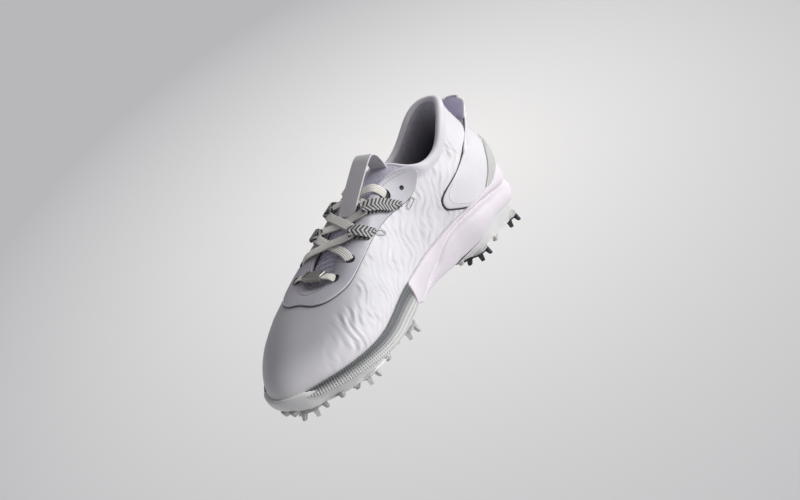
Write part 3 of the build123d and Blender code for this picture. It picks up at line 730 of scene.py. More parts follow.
def collar_curve(count):
    """The collar's edge as a closed curve, with its outward and upward directions."""
    p = np.array(COLLAR + COLLAR[:1], float)
    chord = np.concatenate([[0], np.cumsum(np.linalg.norm(np.diff(p, axis=0), axis=1))])
    curve = ring_spline(chord / chord[-1], p)
    s = np.arange(count) / count
    here = curve(s)
    along = unit(curve(s + 1e-3) - curve(s - 1e-3))
    out = unit(np.stack([along[:, 1], -along[:, 0], np.zeros(count)], -1))
    middle = here - np.array([88.0, 0.0, 0.0])
    flip = np.sign((out[:, :2] * middle[:, :2]).sum(-1))
    out = out * flip[:, None]
    up = np.cross(along, out)
    up = up * np.sign(up[:, 2:3])
    front = ease((66 - here[:, 0]) / 16)
    return s, here, out, up, front


def make_collar():
    s, here, out, up, front = collar_curve(200)
    shape = through([(a, b, 0) for a, b in ROLL], 30)
    a, b = shape[:, 0], shape[:, 1]
    size = (1 - 0.35 * front)[:, None]
    roll = here[:, None] + out[:, None] * (a * size)[..., None]
    roll = roll + up[:, None] * (b * size)[..., None]
    inner = here[:, None] + out[:, None] * (np.interp(even(30), [0, 0.5, 1],
            [-1.4, -2.4, -4.0]) * size)[..., None]
    inner = inner + up[:, None] * (np.interp(even(30), [0, 0.5, 1], [-8.6, -2.4, -3.0])
                                   * size)[..., None]
    uv = np.stack(np.broadcast_arrays(s[:, None], even(30)), -1)
    rim = slab("collar_rim", roll, inner, "collar", "collar_knit", wrap=True, uv=uv,
               stands=("collar_padding",))
    shape = through([(a, b, 0) for a, b in POCKET], 34)
    a, b = shape[:, 0], shape[:, 1]
    deep = (1 - 0.7 * front)[:, None]
    wide = (1 - 0.55 * front)[:, None]
    tall = np.array([0.0, 0.0, 1.0]) * 0.6 + up * 0.4
    face = here[:, None] + out[:, None] * (a * wide)[..., None]
    face = face + tall[:, None] * (b * deep)[..., None]
    back = face + out[:, None] * 1.2
    # depth runs 0 to 1 down the pocket; the lining paints shade by it.
    depth = np.broadcast_to(even(34), face.shape[:2])
    pocket = slab("collar_pocket", face, back, "lining", "lining_textile", wrap=True,
                  marks={"depth": depth},
                  stands=("collar_lining",))


make_collar()


# ---- heel panel, tab and clip ----------------------------------------------------------
PANEL_EDGE = [(0.0, 0.133), (0.025, 0.139), (0.08, 0.152), (0.135, 0.163), (0.20, 0.175),
              (0.26, 0.181), (0.34, 0.183), (0.40, 0.179), (0.45, 0.168), (0.48, 0.155),
              (0.505, 0.129), (0.52, 0.099), (0.56, 0.084), (0.60, 0.077), (0.66, 0.066),
              (0.735, 0.052), (0.85, 0.040), (1.0, 0.034)]
TAB_X = [(0.0, 149), (0.5, 141), (0.6, 139.5), (0.7, 141), (0.8, 144), (0.9, 146.6),
         (1.0, 146.8)]
TAB_Z = [(0.0, 46), (0.5, 80), (0.6, 87), (0.7, 94.5), (0.8, 100.0), (0.9, 105.5),
         (1.0, 110.0)]
TAB_HALF = [(0.0, 24), (0.6, 20), (0.7, 17.0), (0.8, 14.4), (0.9, 12.4), (0.96, 10.2),
            (1.0, 6.5)]


SHADOW_LINE_STEPS, SHADOW_LINE_TOP, SHADOW_LINE_OUT = 240, 0.72, 1.012   # the painted shadow line round the panel


def heel_form(u, w):
    """The heel panel's middle layer: on the upper below, a flared tab above."""
    edge = smooth(PANEL_EDGE)(w)
    low = surface(u * edge, np.minimum(w, 1.0))
    x = smooth(TAB_X)(w) - (11 - 8 * ease((w - 0.6) / 0.4)) * u ** 2
    high = stack(x, -smooth(TAB_HALF)(w) * np.sin(u * 1.35) / math.sin(1.35),
                 smooth(TAB_Z)(w) - 2.0 * u ** 2 * ease((w - 0.85) / 0.15))
    lift = ease((w - 0.52) / 0.2)[..., None]
    return low * (1 - lift) + high * lift


def heel_side(points):
    n = normals_of(points)
    away = points - np.array([95.0, 0.0, 70.0])
    return n * np.sign((n * away).sum(-1, keepdims=True))


def make_heel():
    u = 2 * crowded(90) - 1
    w = crowded(110)
    U, W = np.meshgrid(u, w, indexing="ij")
    base = heel_form(U, W)
    n = heel_side(base)
    edge = rim_round((U + 1) / 2, 0.045) * rim_round(0.5 + W / 2, 0.02)
    outer = base + n * (0.5 + 1.1 * edge)[..., None]
    inner = base + n * (0.15 - 0.4 * (1 - edge))[..., None]
    slab("heel_panel", outer, inner, "overlay", "heel_film", stands=("heel_overlay",))
    w = np.linspace(0.0, SHADOW_LINE_TOP, SHADOW_LINE_STEPS)
    side = heel_side(heel_form(*np.meshgrid([0.9, 1.0], w, indexing="ij")))[1]
    bands = []
    for sign in (1, -1):
        line = heel_form(np.full(SHADOW_LINE_STEPS, sign * SHADOW_LINE_OUT), w)
        lift = side * np.array([1.0, sign, 1.0]) * 0.35
        across = unit(np.gradient(line, axis=0))[:, [1, 2, 0]]
        bands.append(strip(line + lift, across, 1.5, 0.9, 10, 0.8))
    # Painted shadow: dark cords along both sides of the panel.
    strips("heel_panel_shadow_line", bands, "painted_line_shade", "heel_film")
    for sign, word in ((1, "medial"), (-1, "lateral")):
        w = np.linspace(0.05, 0.46, 160)
        inset = 0.93 * sign
        path = heel_form(np.full(160, inset), w)
        n = heel_side(heel_form(*np.meshgrid([0.9 * sign, inset], w, indexing="ij")))[1]
        stitches(f"heel_stitches_{word}", path + n * 1.62, n, 2.2, 1.5, 0.16,
                 "thread_white", "heel_film")
    u = 1.6 * crowded(40) - 0.8
    w = 0.66 + 0.325 * crowded(40)
    U, W = np.meshgrid(u, w, indexing="ij")
    base = heel_form(U, W)
    n = -heel_side(base)
    edge = rim_round((U / 0.8 + 1) / 2, 0.2) * rim_round((W - 0.66) / 0.325, 0.2)
    slab("heel_tab_pad", base + n * (0.1 + 1.3 * edge)[..., None], base + n * -0.1,
         "lavender", "lavender_pad", stands=("heel_tab_inset",))


CLIP_EDGE = [(-0.03, 0.092), (0.02, 0.099), (0.05, 0.0935), (0.11, 0.080), (0.20, 0.066),
             (0.27, 0.055), (0.31, 0.040)]


def make_clip():
    u = 2 * crowded(100) - 1
    U, H = np.meshgrid(u, crowded(50), indexing="ij")
    foot = -0.03 + 0.20 * ease((1 - np.abs(U)) / 0.85)
    W = foot + (0.33 - foot) * H
    base = surface(U * smooth(CLIP_EDGE)(W), np.maximum(W, -0.03))
    n = heel_side(base)
    edge = rim_round((U + 1) / 2, 0.06) * rim_round(H, 0.12)
    outer = base + n * (0.6 + 2.7 * edge)[..., None]
    uv = np.stack([(U + 1) / 2, W], -1)
    slab("clip", outer, base - n * 0.5, "clip", "clip_grey", uv=uv,
         stands=("heel_clip",))


make_heel()
make_clip()


# ---- sole ------------------------------------------------------------------------------
def sole_wall(name, x_end, heel, rows, wall, mat, slot, stands):
    """A sole layer: walls all round one end, with a floor and a roof between them."""
    shares = np.linspace(0, 1, 2001)
    x_medial = RING(shares / 2)[:, 0]
    x_lateral = RING(1 - shares / 2)[:, 0]
    last_m = shares[np.argmin(np.abs(x_medial - x_end))]
    last_l = shares[np.argmin(np.abs(x_lateral - x_end))]
    first = 0.0 if heel else 1.0
    m = first + (last_m - first) * np.linspace(1, 0, rows)
    k = first + (last_l - first) * np.linspace(1, 0, rows)
    t = np.concatenate([m / 2, (1 - k / 2)[::-1][1:]])
    here, out = outline_at(t)
    q = even(34)
    offset, height = wall(here[:, :1], q[None, :])
    points = stack(here[:, None, 0] + out[:, None, 0] * offset,
                   here[:, None, 1] + out[:, None, 1] * offset, height)
    run = np.concatenate([[0], np.cumsum(np.linalg.norm(np.diff(here, axis=0), axis=1))])
    n = len(t)
    depth = [6.0, 12.0]
    roof = [stack(here[:, 0] - out[:, 0] * d, here[:, 1] - out[:, 1] * d,
                  height[:, -1] - 1.2 - 0.25 * d)[:, None] for d in depth]
    floor = [stack(here[:, 0] - out[:, 0] * d, here[:, 1] - out[:, 1] * d,
                   height[:, 0] + 0.4)[:, None] for d in depth[::-1]]
    ring = np.concatenate(floor + [points] + roof, axis=1)
    u = np.broadcast_to(run[:, None], ring.shape[:2])
    v = np.concatenate([[0, 0], q, [1, 1]])
    uv = np.stack([u, np.broadcast_to(v, ring.shape[:2])], -1)
    width = ring.shape[1]
    faces = grid_faces(n, width).tolist()
    verts, uvs, start = [ring.reshape(-1, 3)], [uv.reshape(-1, 2)], n * width
    share = even(14)[None, :, None]
    for column in (0, width - 1):
        near, far = ring[: rows, column][:, None], ring[::-1][: rows, column][:, None]
        sheet = near + (far - near) * share
        verts.append(sheet.reshape(-1, 3))
        uvs.append(sheet.reshape(-1, 3)[:, :2])
        faces += grid_faces(rows, 14, start=start).tolist()
        start += rows * 14
    for row in (0, n - 1):
        middle = ring[row].mean(axis=0)
        verts.append(middle[None])
        uvs.append(uv[row, :1])
        edge = row * width + np.arange(width)
        faces += [[start, int(i), int(j)] for i, j in zip(edge, np.roll(edge, -1))]
        start += 1
    return build(name, np.vstack(verts), faces, mat, slot, np.vstack(uvs), stands=stands,
                 weld=True)


def midsole_wall(x, q):
    """Offset and height up the midsole's wall, with its sculpted crease."""
    bottom = np.where(x > 52, heel_wall(x), sole_bottom(x) + 1.5)
    bottom = bottom + (rand_bottom(-8) - bottom) * (1 - ease((x + 8) / 12))
    line = sole_line(x) + 0.3
    top = line + 13.0 * ease((x - 116) / 28)
    z = bottom + (top - bottom) * q
    crease = crease_height(x)
    deep = ease((x + 6) / 26) * (1 - 0.55 * ease((x - 100) / 40))
    groove = 3.2 * deep * np.exp(-((z - crease) / 2.4) ** 2)
    heel = ease((x - 30) / 50)
    below = np.clip((crease - z) / np.maximum(crease - bottom, 1), 0, 1)
    bulge = heel * 2.4 * np.sin(np.pi * np.clip(below * 0.95, 0, 1))
    waist = ease((x + 8) / 20) * (1 - ease((x - 45) / 40))
    lean = waist * 4.0 * below ** 1.2
    above = np.clip((z - crease) / np.maximum(line - crease, 1), 0, 1)
    band = 1.2 * np.sin(np.pi * np.clip(above, 0, 1)) ** 0.7
    climb = 0.04 * np.clip(z - line, 0, None)
    corner = 1.6 * np.clip((q - 0.93) / 0.07, 0, 1) ** 2
    foot = 1.3 * np.clip((0.06 - q) / 0.06, 0, 1) ** 2
    return 0.5 - groove + bulge - lean + band - climb - corner - foot, z


def rand_wall(x, q):
    """Offset and height up the ribbed rand: a flared lip, then a hollow."""
    bottom, top = rand_bottom(x), sole_line(x) + 0.4
    z = bottom + (top - bottom) * q
    fade = ease((x + 146) / 22) * (0.25 + 0.75 * ease((-8 - x) / 10))
    lip = 2.2 * np.exp(-(q / 0.28) ** 2)
    hollow = -1.5 * np.exp(-((q - 0.66) / 0.2) ** 2)
    corner = 0.9 * np.clip((q - 0.93) / 0.07, 0, 1) ** 2
    foot = 1.0 * np.clip((0.07 - q) / 0.07, 0, 1) ** 2
    return 0.5 + fade * (lip + hollow) - corner - foot, z


sole_wall("midsole", -8.6, True, 150, midsole_wall, "foam", "foam_white", ("midsole",))
BUMPER_TOP = [(-150, 26.0), (-138, 25.4), (-131, 22.5), (-124, 18.6), (-107, 16.6),
              (-89, 15.6), (-67, 13.4), (-43, 11.6), (-26, 12.0), (-8, 13.4)]
bumper_top = smooth(BUMPER_TOP)


def front_plate_wall(x, q):
    """The forefoot outsole: tucked in under the rand, and a bumper round the toe."""
    bottom, top = sole_bottom(x), bumper_top(x)
    z = bottom + (top - bottom) * q
    toe = ease((-122 - x) / 16)
    tuck = -8.5 * (1 - q) ** 1.1 - 0.6
    bumper = 1.5 - 5.0 * (1 - q) ** 2.4 - 1.2 * np.clip((q - 0.85) / 0.15, 0, 1) ** 2
    return tuck + (bumper - tuck) * toe, z


def heel_plate_wall(x, q):
    """The heel outsole: its wall turns in towards the bottom."""
    bottom = np.minimum(sole_bottom(x), heel_wall(x) - 3)
    top = heel_wall(x) + 0.6
    z = bottom + (top - bottom) * q
    return 0.1 - 7.5 * (1 - q) ** 1.25, z


sole_wall("rand", -6.6, False, 420, rand_wall, "rand", "rand_grey", ("forefoot_rand",))
sole_wall("front_plate", -6.0, False, 220, front_plate_wall, "tpu", "clear_tpu",
          ("outsole_forefoot",))
sole_wall("heel_plate", 52.0, True, 150, heel_plate_wall, "tpu", "clear_tpu",
          ("outsole_heel",))


LUGS = [(-142, -14), (-136, -2), (-141, -4), (-112, -34), (-108, 6), (-107, 24),
        (-104, -16), (-66, -42), (-62, -6), (-60, 12), (-58, 40), (-52, -30), (-12, 30),
        (-12, -14), (-10, 8), (-100, -36), (58, -22), (59, 26), (62, 2), (98, -26),
        (99, 27), (100, 0), (104, -8), (112, 24), (141, 4), (142, -8)]


def make_lugs():
    """Small six-sided traction lugs, narrower towards the ground."""
    points, faces, start = [], [], 0
    for x, y in LUGS:
        base = float(sole_bottom(x))
        turn = 2 * np.pi * np.arange(24) / 24
        for radius, z in ((3.4, base + 1.5), (3.2, base + 0.4), (2.6, base - 0.6),
                          (1.9, base - 2.5), (1.5, base - 2.9)):
            star = radius * (1 + 0.10 * np.cos(6 * turn))
            ring = stack(x + star * np.cos(turn), y + star * np.sin(turn), z + 0 * turn)
            points.append(ring)
        faces += grid_faces(5, 24, False, True, start).tolist()
        faces.append(list(range(start, start + 24)))
        faces.append(list(range(start + 96, start + 120)))
        start += 120
    build("tread_lugs", np.vstack(points), faces, "spike_clear", "clear_tpu")


make_lugs()


# ---- lace panel ------------------------------------------------------------------------
PANEL_LOW = [(0.2225, 0.955), (0.2235, 0.90), (0.2285, 0.82), (0.2385, 0.70),
             (0.250, 0.622), (0.262, 0.588), (0.2906, 0.580), (0.3088, 0.590),
             (0.335, 0.612), (0.3681, 0.628), (0.3975, 0.630), (0.4163, 0.650),
             (0.445, 0.697), (0.470, 0.760), (0.487, 0.806), (0.5, 0.82)]
PANEL_HIGH = [(0.2245, 0.968), (0.232, 0.975), (0.244, 0.982), (0.26, 0.992), (0.29, 0.997),
              (0.34, 0.998), (0.40, 0.998), (0.45, 0.998), (0.5, 0.998)]


def panel_lines(count):
    """The lace panel's lower and upper edges in the upper's own coordinates."""
    ends = []
    for knots in (PANEL_LOW, PANEL_HIGH):
        mirrored = [(1 - t, v) for t, v in knots[-2::-1]]
        p = np.array(knots + mirrored, float)
        scaled = np.stack([p[:, 0] * 600, p[:, 1] * 60, 0 * p[:, 0]], -1)
        line = through(scaled, 4 * count)
        run = np.concatenate([[0], np.cumsum(np.linalg.norm(np.diff(line, axis=0),
                                                            axis=1))])
        even_run = np.linspace(0, run[-1], count)
        t = np.interp(even_run, run, line[:, 0]) / 600
        v = np.interp(even_run, run, line[:, 1]) / 60
        ends.append(np.stack([t, v], -1))
    return ends


def make_eyestay():
    low, high = panel_lines(340)
    w = crowded(44)
    tv = low[:, None] * (1 - w[:, None]) + high[:, None] * w[:, None]
    T, V = tv[..., 0], tv[..., 1]
    edge = rim_round(np.broadcast_to(w, T.shape), 0.035)
    ends = rim_round(np.broadcast_to(even(340)[:, None], T.shape), 0.006)
    base, n = surface(T, V), surface_normal(T, V)
    outer = base + n * (0.25 + 0.95 * edge * ends)[..., None]
    slab("lace_panel", outer, base + n * 0.02, "eyestay", "eyestay_film",
         stands=("eyestay_overlay",))
    t, v = low[:, 0], low[:, 1]
    line = at(t, v, np.full(t.shape, 0.35))
    # Painted shadow: a dark cord along the panel's lower edge.
    strips("lace_panel_shadow_line", [cord_band(line, 0.3)], "painted_line_shade", "eyestay_film")
    inside = low + (high - low) * 0.035
    line = at(inside[:, 0], inside[:, 1], np.full(t.shape, 1.02))
    strips("lace_panel_trim", [cord_band(line, 0.34)], "edge_light", "eyestay_film")
    for row, (share, out) in enumerate(((0.93, 1.2), (0.80, 1.2))):
        inside = (low + (high - low) * share)[14:-14]
        path = at(inside[:, 0], inside[:, 1], np.full(len(inside), out))
        n = surface_normal(inside[:, 0], inside[:, 1])
        stitches(f"lace_panel_stitches_{row}", path, n, 2.6, 1.6, 0.2, "thread",
                 "eyestay_film")


make_eyestay()


# ---- tongue and its strap --------------------------------------------------------------
TONGUE_TOP = [(-67, 65.5), (-59, 68.0), (-40, 76.0), (-14, 87.2), (8, 95.8), (30, 101.8),
              (40, 104.0), (47, 105.0)]
tongue_line = smooth(TONGUE_TOP)


def tongue_top(x, y):
    """Height of the tongue's top above the plan point."""
    x = np.asarray(x, float)
    wide = 15.0 + 9.0 * ease((x - 20) / 25)
    drop = 3.4 + 3.6 * ease((x - 20) / 25)
    return tongue_line(x) - drop * (np.abs(y) / wide) ** 2.2


def make_tongue():
    x = np.linspace(-66.5, 46.8, 230)
    half = 17.5 + 4.0 * ease((x - 15) / 30)
    y = 2 * even(40) - 1
    X, Y = np.meshgrid(x, y, indexing="ij")
    Y = Y * half[:, None]
    Z = tongue_top(X, Y)
    rib = np.abs(np.sin(np.pi * (X + 0.35 * Y + 3) / 4.6)) ** 0.6
    zone = ease((X + 54) / 8) * (1 - ease((X - 4) / 6)) * (1 - ease((np.abs(Y) - 10) / 3))
    Z = Z + 2.2 * (rib - 0.7) * zone
    round_side = 1 - rim_round((Y / half[:, None] + 1) / 2, 0.12)
    top = stack(X, Y, Z - 2.2 * round_side)
    low = stack(X, Y, Z - 5.2 + 2.2 * round_side)
    tongue = slab("tongue_pad", top, low, "tongue", "tongue_fabric", stands=("tongue",))


make_tongue()
STRAP = [(-6.5, 0, 91.6), (-3.5, 0, 93.9), (3, 0, 98.8), (11, 0, 104.6), (19, 0, 110.2),
         (27, 0, 115.6), (32.5, 0, 118.8), (36.6, 0, 119.6), (40, 0, 117.2),
         (42.2, 0, 112.4), (43.4, 0, 107.8), (44, 0, 103.4)]


def make_strap():
    path = through(STRAP, 160)
    sides = np.tile([0.0, 1.0, 0.0], (160, 1))
    points, uv = strip(path, sides, 17.5, 1.5, 24, 0.35)
    strips("tongue_strap", [(points, uv)], "strap", "webbing_light",
           stands=("tongue_pull_loop",))
    for y in (-7.4, 7.4):
        line = path + np.array([0, y, 0])
        tangent = unit(np.gradient(line, axis=0))
        n = np.cross(tangent, np.array([0.0, -1.0, 0.0]))
        word = "medial" if y < 0 else "lateral"
        stitches(f"strap_stitches_{word}", line + n * 0.82, n, 2.4, 1.5, 0.17,
                 "thread_white", "webbing_light")


make_strap()


# ---- webbing loops, eyelets, lace and tag ----------------------------------------------
class Skin:
    """Finds points on the upper above a plan position near the lacing."""

    def __init__(self):
        t = np.concatenate([np.linspace(0.21, 0.5, 260), np.linspace(0.5, 0.79, 260)])
        self.T, self.V = np.meshgrid(t, np.linspace(0.45, 1.0, 140), indexing="ij")
        self.P = surface(self.T, self.V)

    def find(self, x, y):
        near = np.hypot(self.P[..., 0] - x, self.P[..., 1] - y)
        k = np.unravel_index(np.argmin(near), near.shape)
        return float(self.T[k]), float(self.V[k])


def spot(t, v, out):
    """One point off the upper's surface, and the outward normal there."""
    t, v = np.array([t]), np.array([v])
    return at(t, v, np.array([out]))[0], surface_normal(t, v)[0]


SKIN = Skin()
BAR_X, LACE_LEVEL = -59.0, 72.7
HOLE_BAR, HOLE_LOW, HOLE_HIGH = (-59.0, 21.0), (-42.0, 25.0), (20.5, 18.6)
SPARE_HOLE = (36.2, 21.6)
# Ends of the webbing loops in the upper's own coordinates, on the medial side.
TIP_LOW, TIP_HIGH = (0.3575, 0.915), (0.3200, 0.905)
ROOT_LOW, ROOT_HIGH = (0.3180, 0.590), (0.2640, 0.565)


def on_side(place, side):
    """The same place on the medial side for -1 and on the lateral side for 1."""
    return (place[0], place[1]) if side < 0 else (1 - place[0], place[1])


def make_loop(name, tip, root, side, stands):
    """Webbing folded round the lace at its tip, both layers sewn down at its root."""
    tip, root = on_side(tip, side), on_side(root, side)
    w = even(40)
    t, v = root[0] + (tip[0] - root[0]) * w, root[1] + (tip[1] - root[1]) * w
    foot = surface(t, v)
    n = surface_normal(t, v)
    along = unit(foot[-1] - foot[0])
    low = foot + n * 1.9
    turn_n = n[-1]
    centre = foot[-1] + turn_n * 3.9
    angle = np.linspace(-math.pi / 2, math.pi / 2, 14)[1:-1]
    turn = [centre + along * 2.4 * math.cos(a) + turn_n * 2.0 * math.sin(a) for a in angle]
    rise = 3.2 + 2.7 * ease(np.linspace(0, 1, 40) / 0.8)
    high = foot + n * rise[:, None]
    path = np.vstack([low, turn, high[::-1]])
    flat = np.cross(n, along)
    flat = flat * np.sign(flat[:, 2:3])
    across = np.vstack([flat, np.tile(flat[-1], (len(turn), 1)), flat[::-1]])
    both = through(np.hstack([path, across])[::2], 130)
    share = even(130)
    ends = np.minimum(share, 1 - share)
    taper = 0.4 + 0.6 * ease(ends / 0.14)
    band = strip(both[:, :3], both[:, 3:], 9.8, 1.0, 24, 0.35, taper)
    strips(name, [band], "webbing", "webbing_grey", stands=(stands,))


for side, word in ((-1, "medial"), (1, "lateral")):
    make_loop(f"webbing_lower_{word}", TIP_LOW, ROOT_LOW, side, f"lace_loop_lower_{word}")
    make_loop(f"webbing_upper_{word}", TIP_HIGH, ROOT_HIGH, side,
              f"lace_loop_upper_{word}")


def make_eyelets():
    # Painted shade: each hole is drawn as a black disc with a rim, standing for the dark
    # opening.
    spots = [HOLE_BAR + (3.3,), HOLE_LOW + (3.4,), HOLE_HIGH + (4.3,), SPARE_HOLE + (1.6,)]
    points, faces, start = [], [], 0
    for x, y, r in spots:
        for side in (-1, 1):
            c, n = spot(*SKIN.find(x, side * y), 1.2)
            a = unit(np.cross(n, np.array([0.0, 0.0, 1.0])))
            b = np.cross(n, a)
            turn = 2 * np.pi * np.arange(32) / 32
            for radius, rise in ((r * 1.12, -0.3), (r * 1.1, 0.3), (r * 1.02, 0.5),
                                 (r * 0.92, 0.4), (r * 0.85, 0.12), (r * 0.3, 0.1)):
                ring = c + radius * (np.outer(np.cos(turn), a) + np.outer(np.sin(turn), b))
                points.append(ring + n * rise)
            faces += grid_faces(6, 32, False, True, start).tolist()
            faces.append(list(range(start + 160, start + 192)))
            faces.append(list(range(start, start + 32)))
            start += 192
    build("eyelet_holes", np.vstack(points), faces, "black", "eyestay_film")


make_eyelets()


def over(x, y, rise):
    """A lace point above the middle of the tongue, with its normal."""
    return np.array([x, y, float(tongue_top(x, y)) + rise]), np.array([-0.35, 0.0, 0.94])


def skin_point(x, y, out):
    return spot(*SKIN.find(x, y), out)


def loop_point(place, side, step):
    """Where the lace runs inside a webbing loop's tip, a step towards the toe."""
    return spot(*on_side((place[0] + step, place[1]), side), 3.8)


def lace_half(side, lift):
    """One half of the lace, from inside the low hole to inside the top hole."""
    low_tip = [loop_point(TIP_LOW, side, d) for d in (0.0037, -0.0037)]
    high_tip = [loop_point(TIP_HIGH, -side, d) for d in (0.0037, -0.0037)]
    hole, top = HOLE_LOW, HOLE_HIGH
    return [
        skin_point(hole[0] - 2.0, -side * (hole[1] + 1), -4.0),
        skin_point(hole[0] - 1.0, -side * hole[1], 0.6),
        skin_point(hole[0] + 2.2, -side * (hole[1] - 4.5), 2.6),
        over(-33.0, -side * 3.0, 2.4 + lift), *low_tip,
        over(-14.0, side * 1.0, 2.0 + lift), *high_tip,
        over(8.0, -side * 1.0, 2.2 + lift),
        skin_point(top[0] - 3.4, side * (top[1] - 4.6), 2.9),
        skin_point(top[0] + 0.4, side * top[1], 1.0),
        skin_point(top[0] + 2.0, side * (top[1] + 1.5), -4.0)]


def make_lace():
    bands = []
    for side, lift in ((1, 0.2), (-1, 2.1)):
        stops = lace_half(side, lift)
        path = through([p for p, _ in stops], 260)
        normals = np.array([n for _, n in stops])
        knots = [int(np.argmin(np.linalg.norm(path - p, axis=1))) for p, _ in stops]
        n = np.stack([np.interp(np.arange(260), knots, normals[:, k]) for k in range(3)],
                     -1)
        tangent = unit(np.gradient(path, axis=0))
        bands.append(strip(path, np.cross(unit(n), tangent), 7.0, 1.5, 24, 0.5))
    y = HOLE_BAR[1]
    bar = [skin_point(BAR_X, y + 1.0, -4.0)[0], skin_point(BAR_X, y, 1.0)[0],
           np.array([BAR_X, y - 4.5, LACE_LEVEL - 0.5]),
           np.array([BAR_X, y - 9.0, LACE_LEVEL]), np.array([BAR_X, 0, LACE_LEVEL])]
    bar = bar + [p * np.array([1.0, -1.0, 1.0]) for p in bar[-2::-1]]
    path = through(bar, 120)
    sides = np.tile([1.0, 0.0, 0.0], (120, 1))
    bands.append(strip(path, sides, 6.8, 1.5, 24, 0.5))
    strips("lace_band", bands, "lace", "lace_cotton", stands=("lace", "lace_aglets"))


make_lace()


# ---- small marks -----------------------------------------------------------------------
def make_bartacks():
    """Small stitched rectangles below the roots of the webbing loops."""
    bands = []
    for place in ((0.2487, 0.570), (0.3056, 0.545)):
        for side in (-1, 1):
            c, n = spot(*on_side(place, side), 0.9)
            a = unit(np.cross(n, np.array([0.0, 1.0, 0.0])))
            a = a * np.sign(a[0])
            b = unit(np.cross(n, a))
            b = b * np.sign(b[2])
            d = unit(a - 0.18 * b)
            e = unit(np.cross(n, d))
            turn = 2 * np.pi * even(60)
            sx = np.sign(np.cos(turn)) * np.abs(np.cos(turn)) ** 0.35
            sy = np.sign(np.sin(turn)) * np.abs(np.sin(turn)) ** 0.35
            loop = c + np.outer(sx * 4.6, d) + np.outer(sy * 1.7, e)
            bands.append(cord_band(loop, 0.35))
    strips("bartacks", bands, "thread_white", "upper_white")


make_bartacks()
turn = np.linspace(-1.15, 1.15, 70)
arc = np.stack([-59 - 15.5 * np.cos(turn), 15.5 * np.sin(turn)], -1)
places = [SKIN.find(x, y) for x, y in arc]
arc_t = np.array([p[0] for p in places])
arc_v = np.array([p[1] for p in places])
stitches("toe_stitches", at(arc_t, arc_v, np.full(70, 1.25)), surface_normal(arc_t, arc_v),
         2.6, 1.6, 0.22, "thread", "eyestay_film")


# ---- carried-over parts ----------------------------------------------------------------
CARRIED = {
    "shank_plate": "shank",
    "strobel_board": "board", "sockliner": "inner", "lace_tag": "metal",
    "spike_receptacles": "spike_clear", "spike_heel_rear_medial": "spike_dark",
    "spike_heel_rear_lateral": "spike_dark", "spike_heel_front_medial": "spike_dark",
    "spike_heel_front_lateral": "spike_dark", "spike_ball_medial": "spike_clear",
    "spike_ball_lateral": "spike_clear", "spike_tread_medial": "spike_clear",
    "spike_tread_lateral": "spike_clear", "spike_toe": "spike_clear"}
for node, mat in CARRIED.items():
    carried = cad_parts[node]
    for place in carried.material_slots:
        place.material = MATS[mat]


# ---- camera, light and floor -----------------------------------------------------------
AIM = np.array([0.0, 0.0, 50.0]) + SHIFT
TURN, TILT, ROLL_ANGLE, DISTANCE = 41.0, 20.4, 26.2, 1425.0
ACROSS, ABOVE = -20.3, 2.0


def make_camera():
    a, e, r = (math.radians(k) for k in (TURN, TILT, ROLL_ANGLE))
    right = np.array([math.cos(a), -math.sin(a), 0.0])
    look = np.array([math.sin(a) * math.cos(e), math.cos(a) * math.cos(e), -math.sin(e)])
    up = np.cross(right, look)
    eye = AIM - DISTANCE * look - ACROSS * right - ABOVE * up
    axes = [math.cos(r) * right - math.sin(r) * up, math.sin(r) * right + math.cos(r) * up,
            -look]
    data = bpy.data.cameras.new("camera")
    data.lens, data.sensor_width = 85.0, 36.0
    camera = bpy.data.objects.new("camera", data)
    bpy.context.collection.objects.link(camera)
    frame_of = Matrix([[axes[c][k] for c in range(3)] for k in range(3)]).to_4x4()
    camera.matrix_world = Matrix.Translation(Vector(eye / 1000.0)) @ frame_of
    bpy.context.scene.camera = camera
    return right, up, look


def sun(name, towards, strength, softness):
    """A soft distant light that shines from the given direction."""
    data = bpy.data.lights.new(name, "SUN")
    data.energy, data.angle = strength, math.radians(softness)
    light = bpy.data.objects.new(name, data)
    bpy.context.collection.objects.link(light)
    light.rotation_euler = Vector((-towards).tolist()).to_track_quat("-Z", "Y").to_euler()


POOL = (0.95, 0.90, -0.35)     # the middle of the floor's painted pool of light, in metres


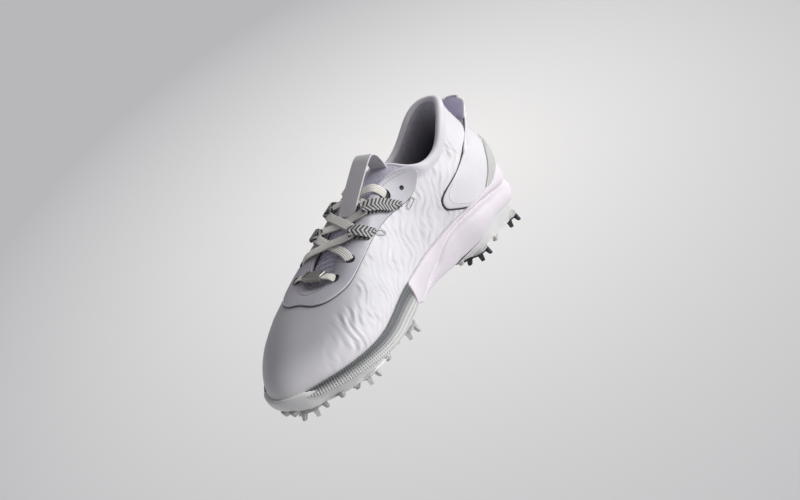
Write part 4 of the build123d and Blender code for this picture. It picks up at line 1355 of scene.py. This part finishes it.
def make_floor():
    mesh = bpy.data.meshes.new("floor")
    corners = [(-9, -9, -0.35), (9, -9, -0.35), (9, 9, -0.35), (-9, 9, -0.35)]
    mesh.from_pydata(corners, [], [(0, 1, 2, 3)])
    floor = bpy.data.objects.new("floor", mesh)
    bpy.context.collection.objects.link(floor)
    paint = Paint("floor_paper", Roughness=0.95)
    across = paint.node("ShaderNodeMapping", {"Vector": paint.place()}, vector_type="TEXTURE")
    across.inputs["Location"].default_value = POOL
    across.inputs["Rotation"].default_value = (0.0, 0.0, -math.radians(TURN))
    across.inputs["Scale"].default_value = (0.85, 1.5, 1.0)
    away = paint.node("ShaderNodeVectorMath", {0: across.outputs[0]}, operation="LENGTH")
    fade = paint.ramp(away.outputs["Value"], 0.0, 1.0)
    # Painted light: the floor is painted brighter in a pool that fades outwards, and glows by
    # its own emission.
    paint.colour(paint.mix(fade, srgb(236, 235, 234), srgb(196, 195, 197)))
    glow = paint.mix(fade, srgb(158, 157, 155), srgb(92, 91, 93))
    paint.tree.links.new(glow, paint.shader.inputs["Emission Color"])
    paint.shader.inputs["Emission Strength"].default_value = 1.0
    clear = paint.node("ShaderNodeBsdfTransparent").outputs[0]
    facing = paint.node("ShaderNodeNewGeometry").outputs["Backfacing"]
    both = paint.node("ShaderNodeMixShader")
    paint.tree.links.new(facing, both.inputs[0])
    paint.tree.links.new(paint.shader.outputs[0], both.inputs[1])
    paint.tree.links.new(clear, both.inputs[2])
    output = paint.tree.nodes["Material Output"]
    paint.tree.links.new(both.outputs[0], output.inputs["Surface"])
    mesh.materials.append(paint.mat)


right, up, look = make_camera()
make_floor()
sun("key", 1.3 * right - 0.45 * look + 0.3 * up, 2.55, 34.0)
sun("top", 0.55 * right + 0.25 * look + 1.0 * up, 0.9, 50.0)
world = bpy.data.worlds.new("studio")
bpy.context.scene.world = world
world.use_nodes = True
sky = world.node_tree.nodes["Background"]
sky.inputs["Color"].default_value = srgb(236, 236, 240)
sky.inputs["Strength"].default_value = 0.235
bpy.context.scene.view_settings.view_transform = "Standard"
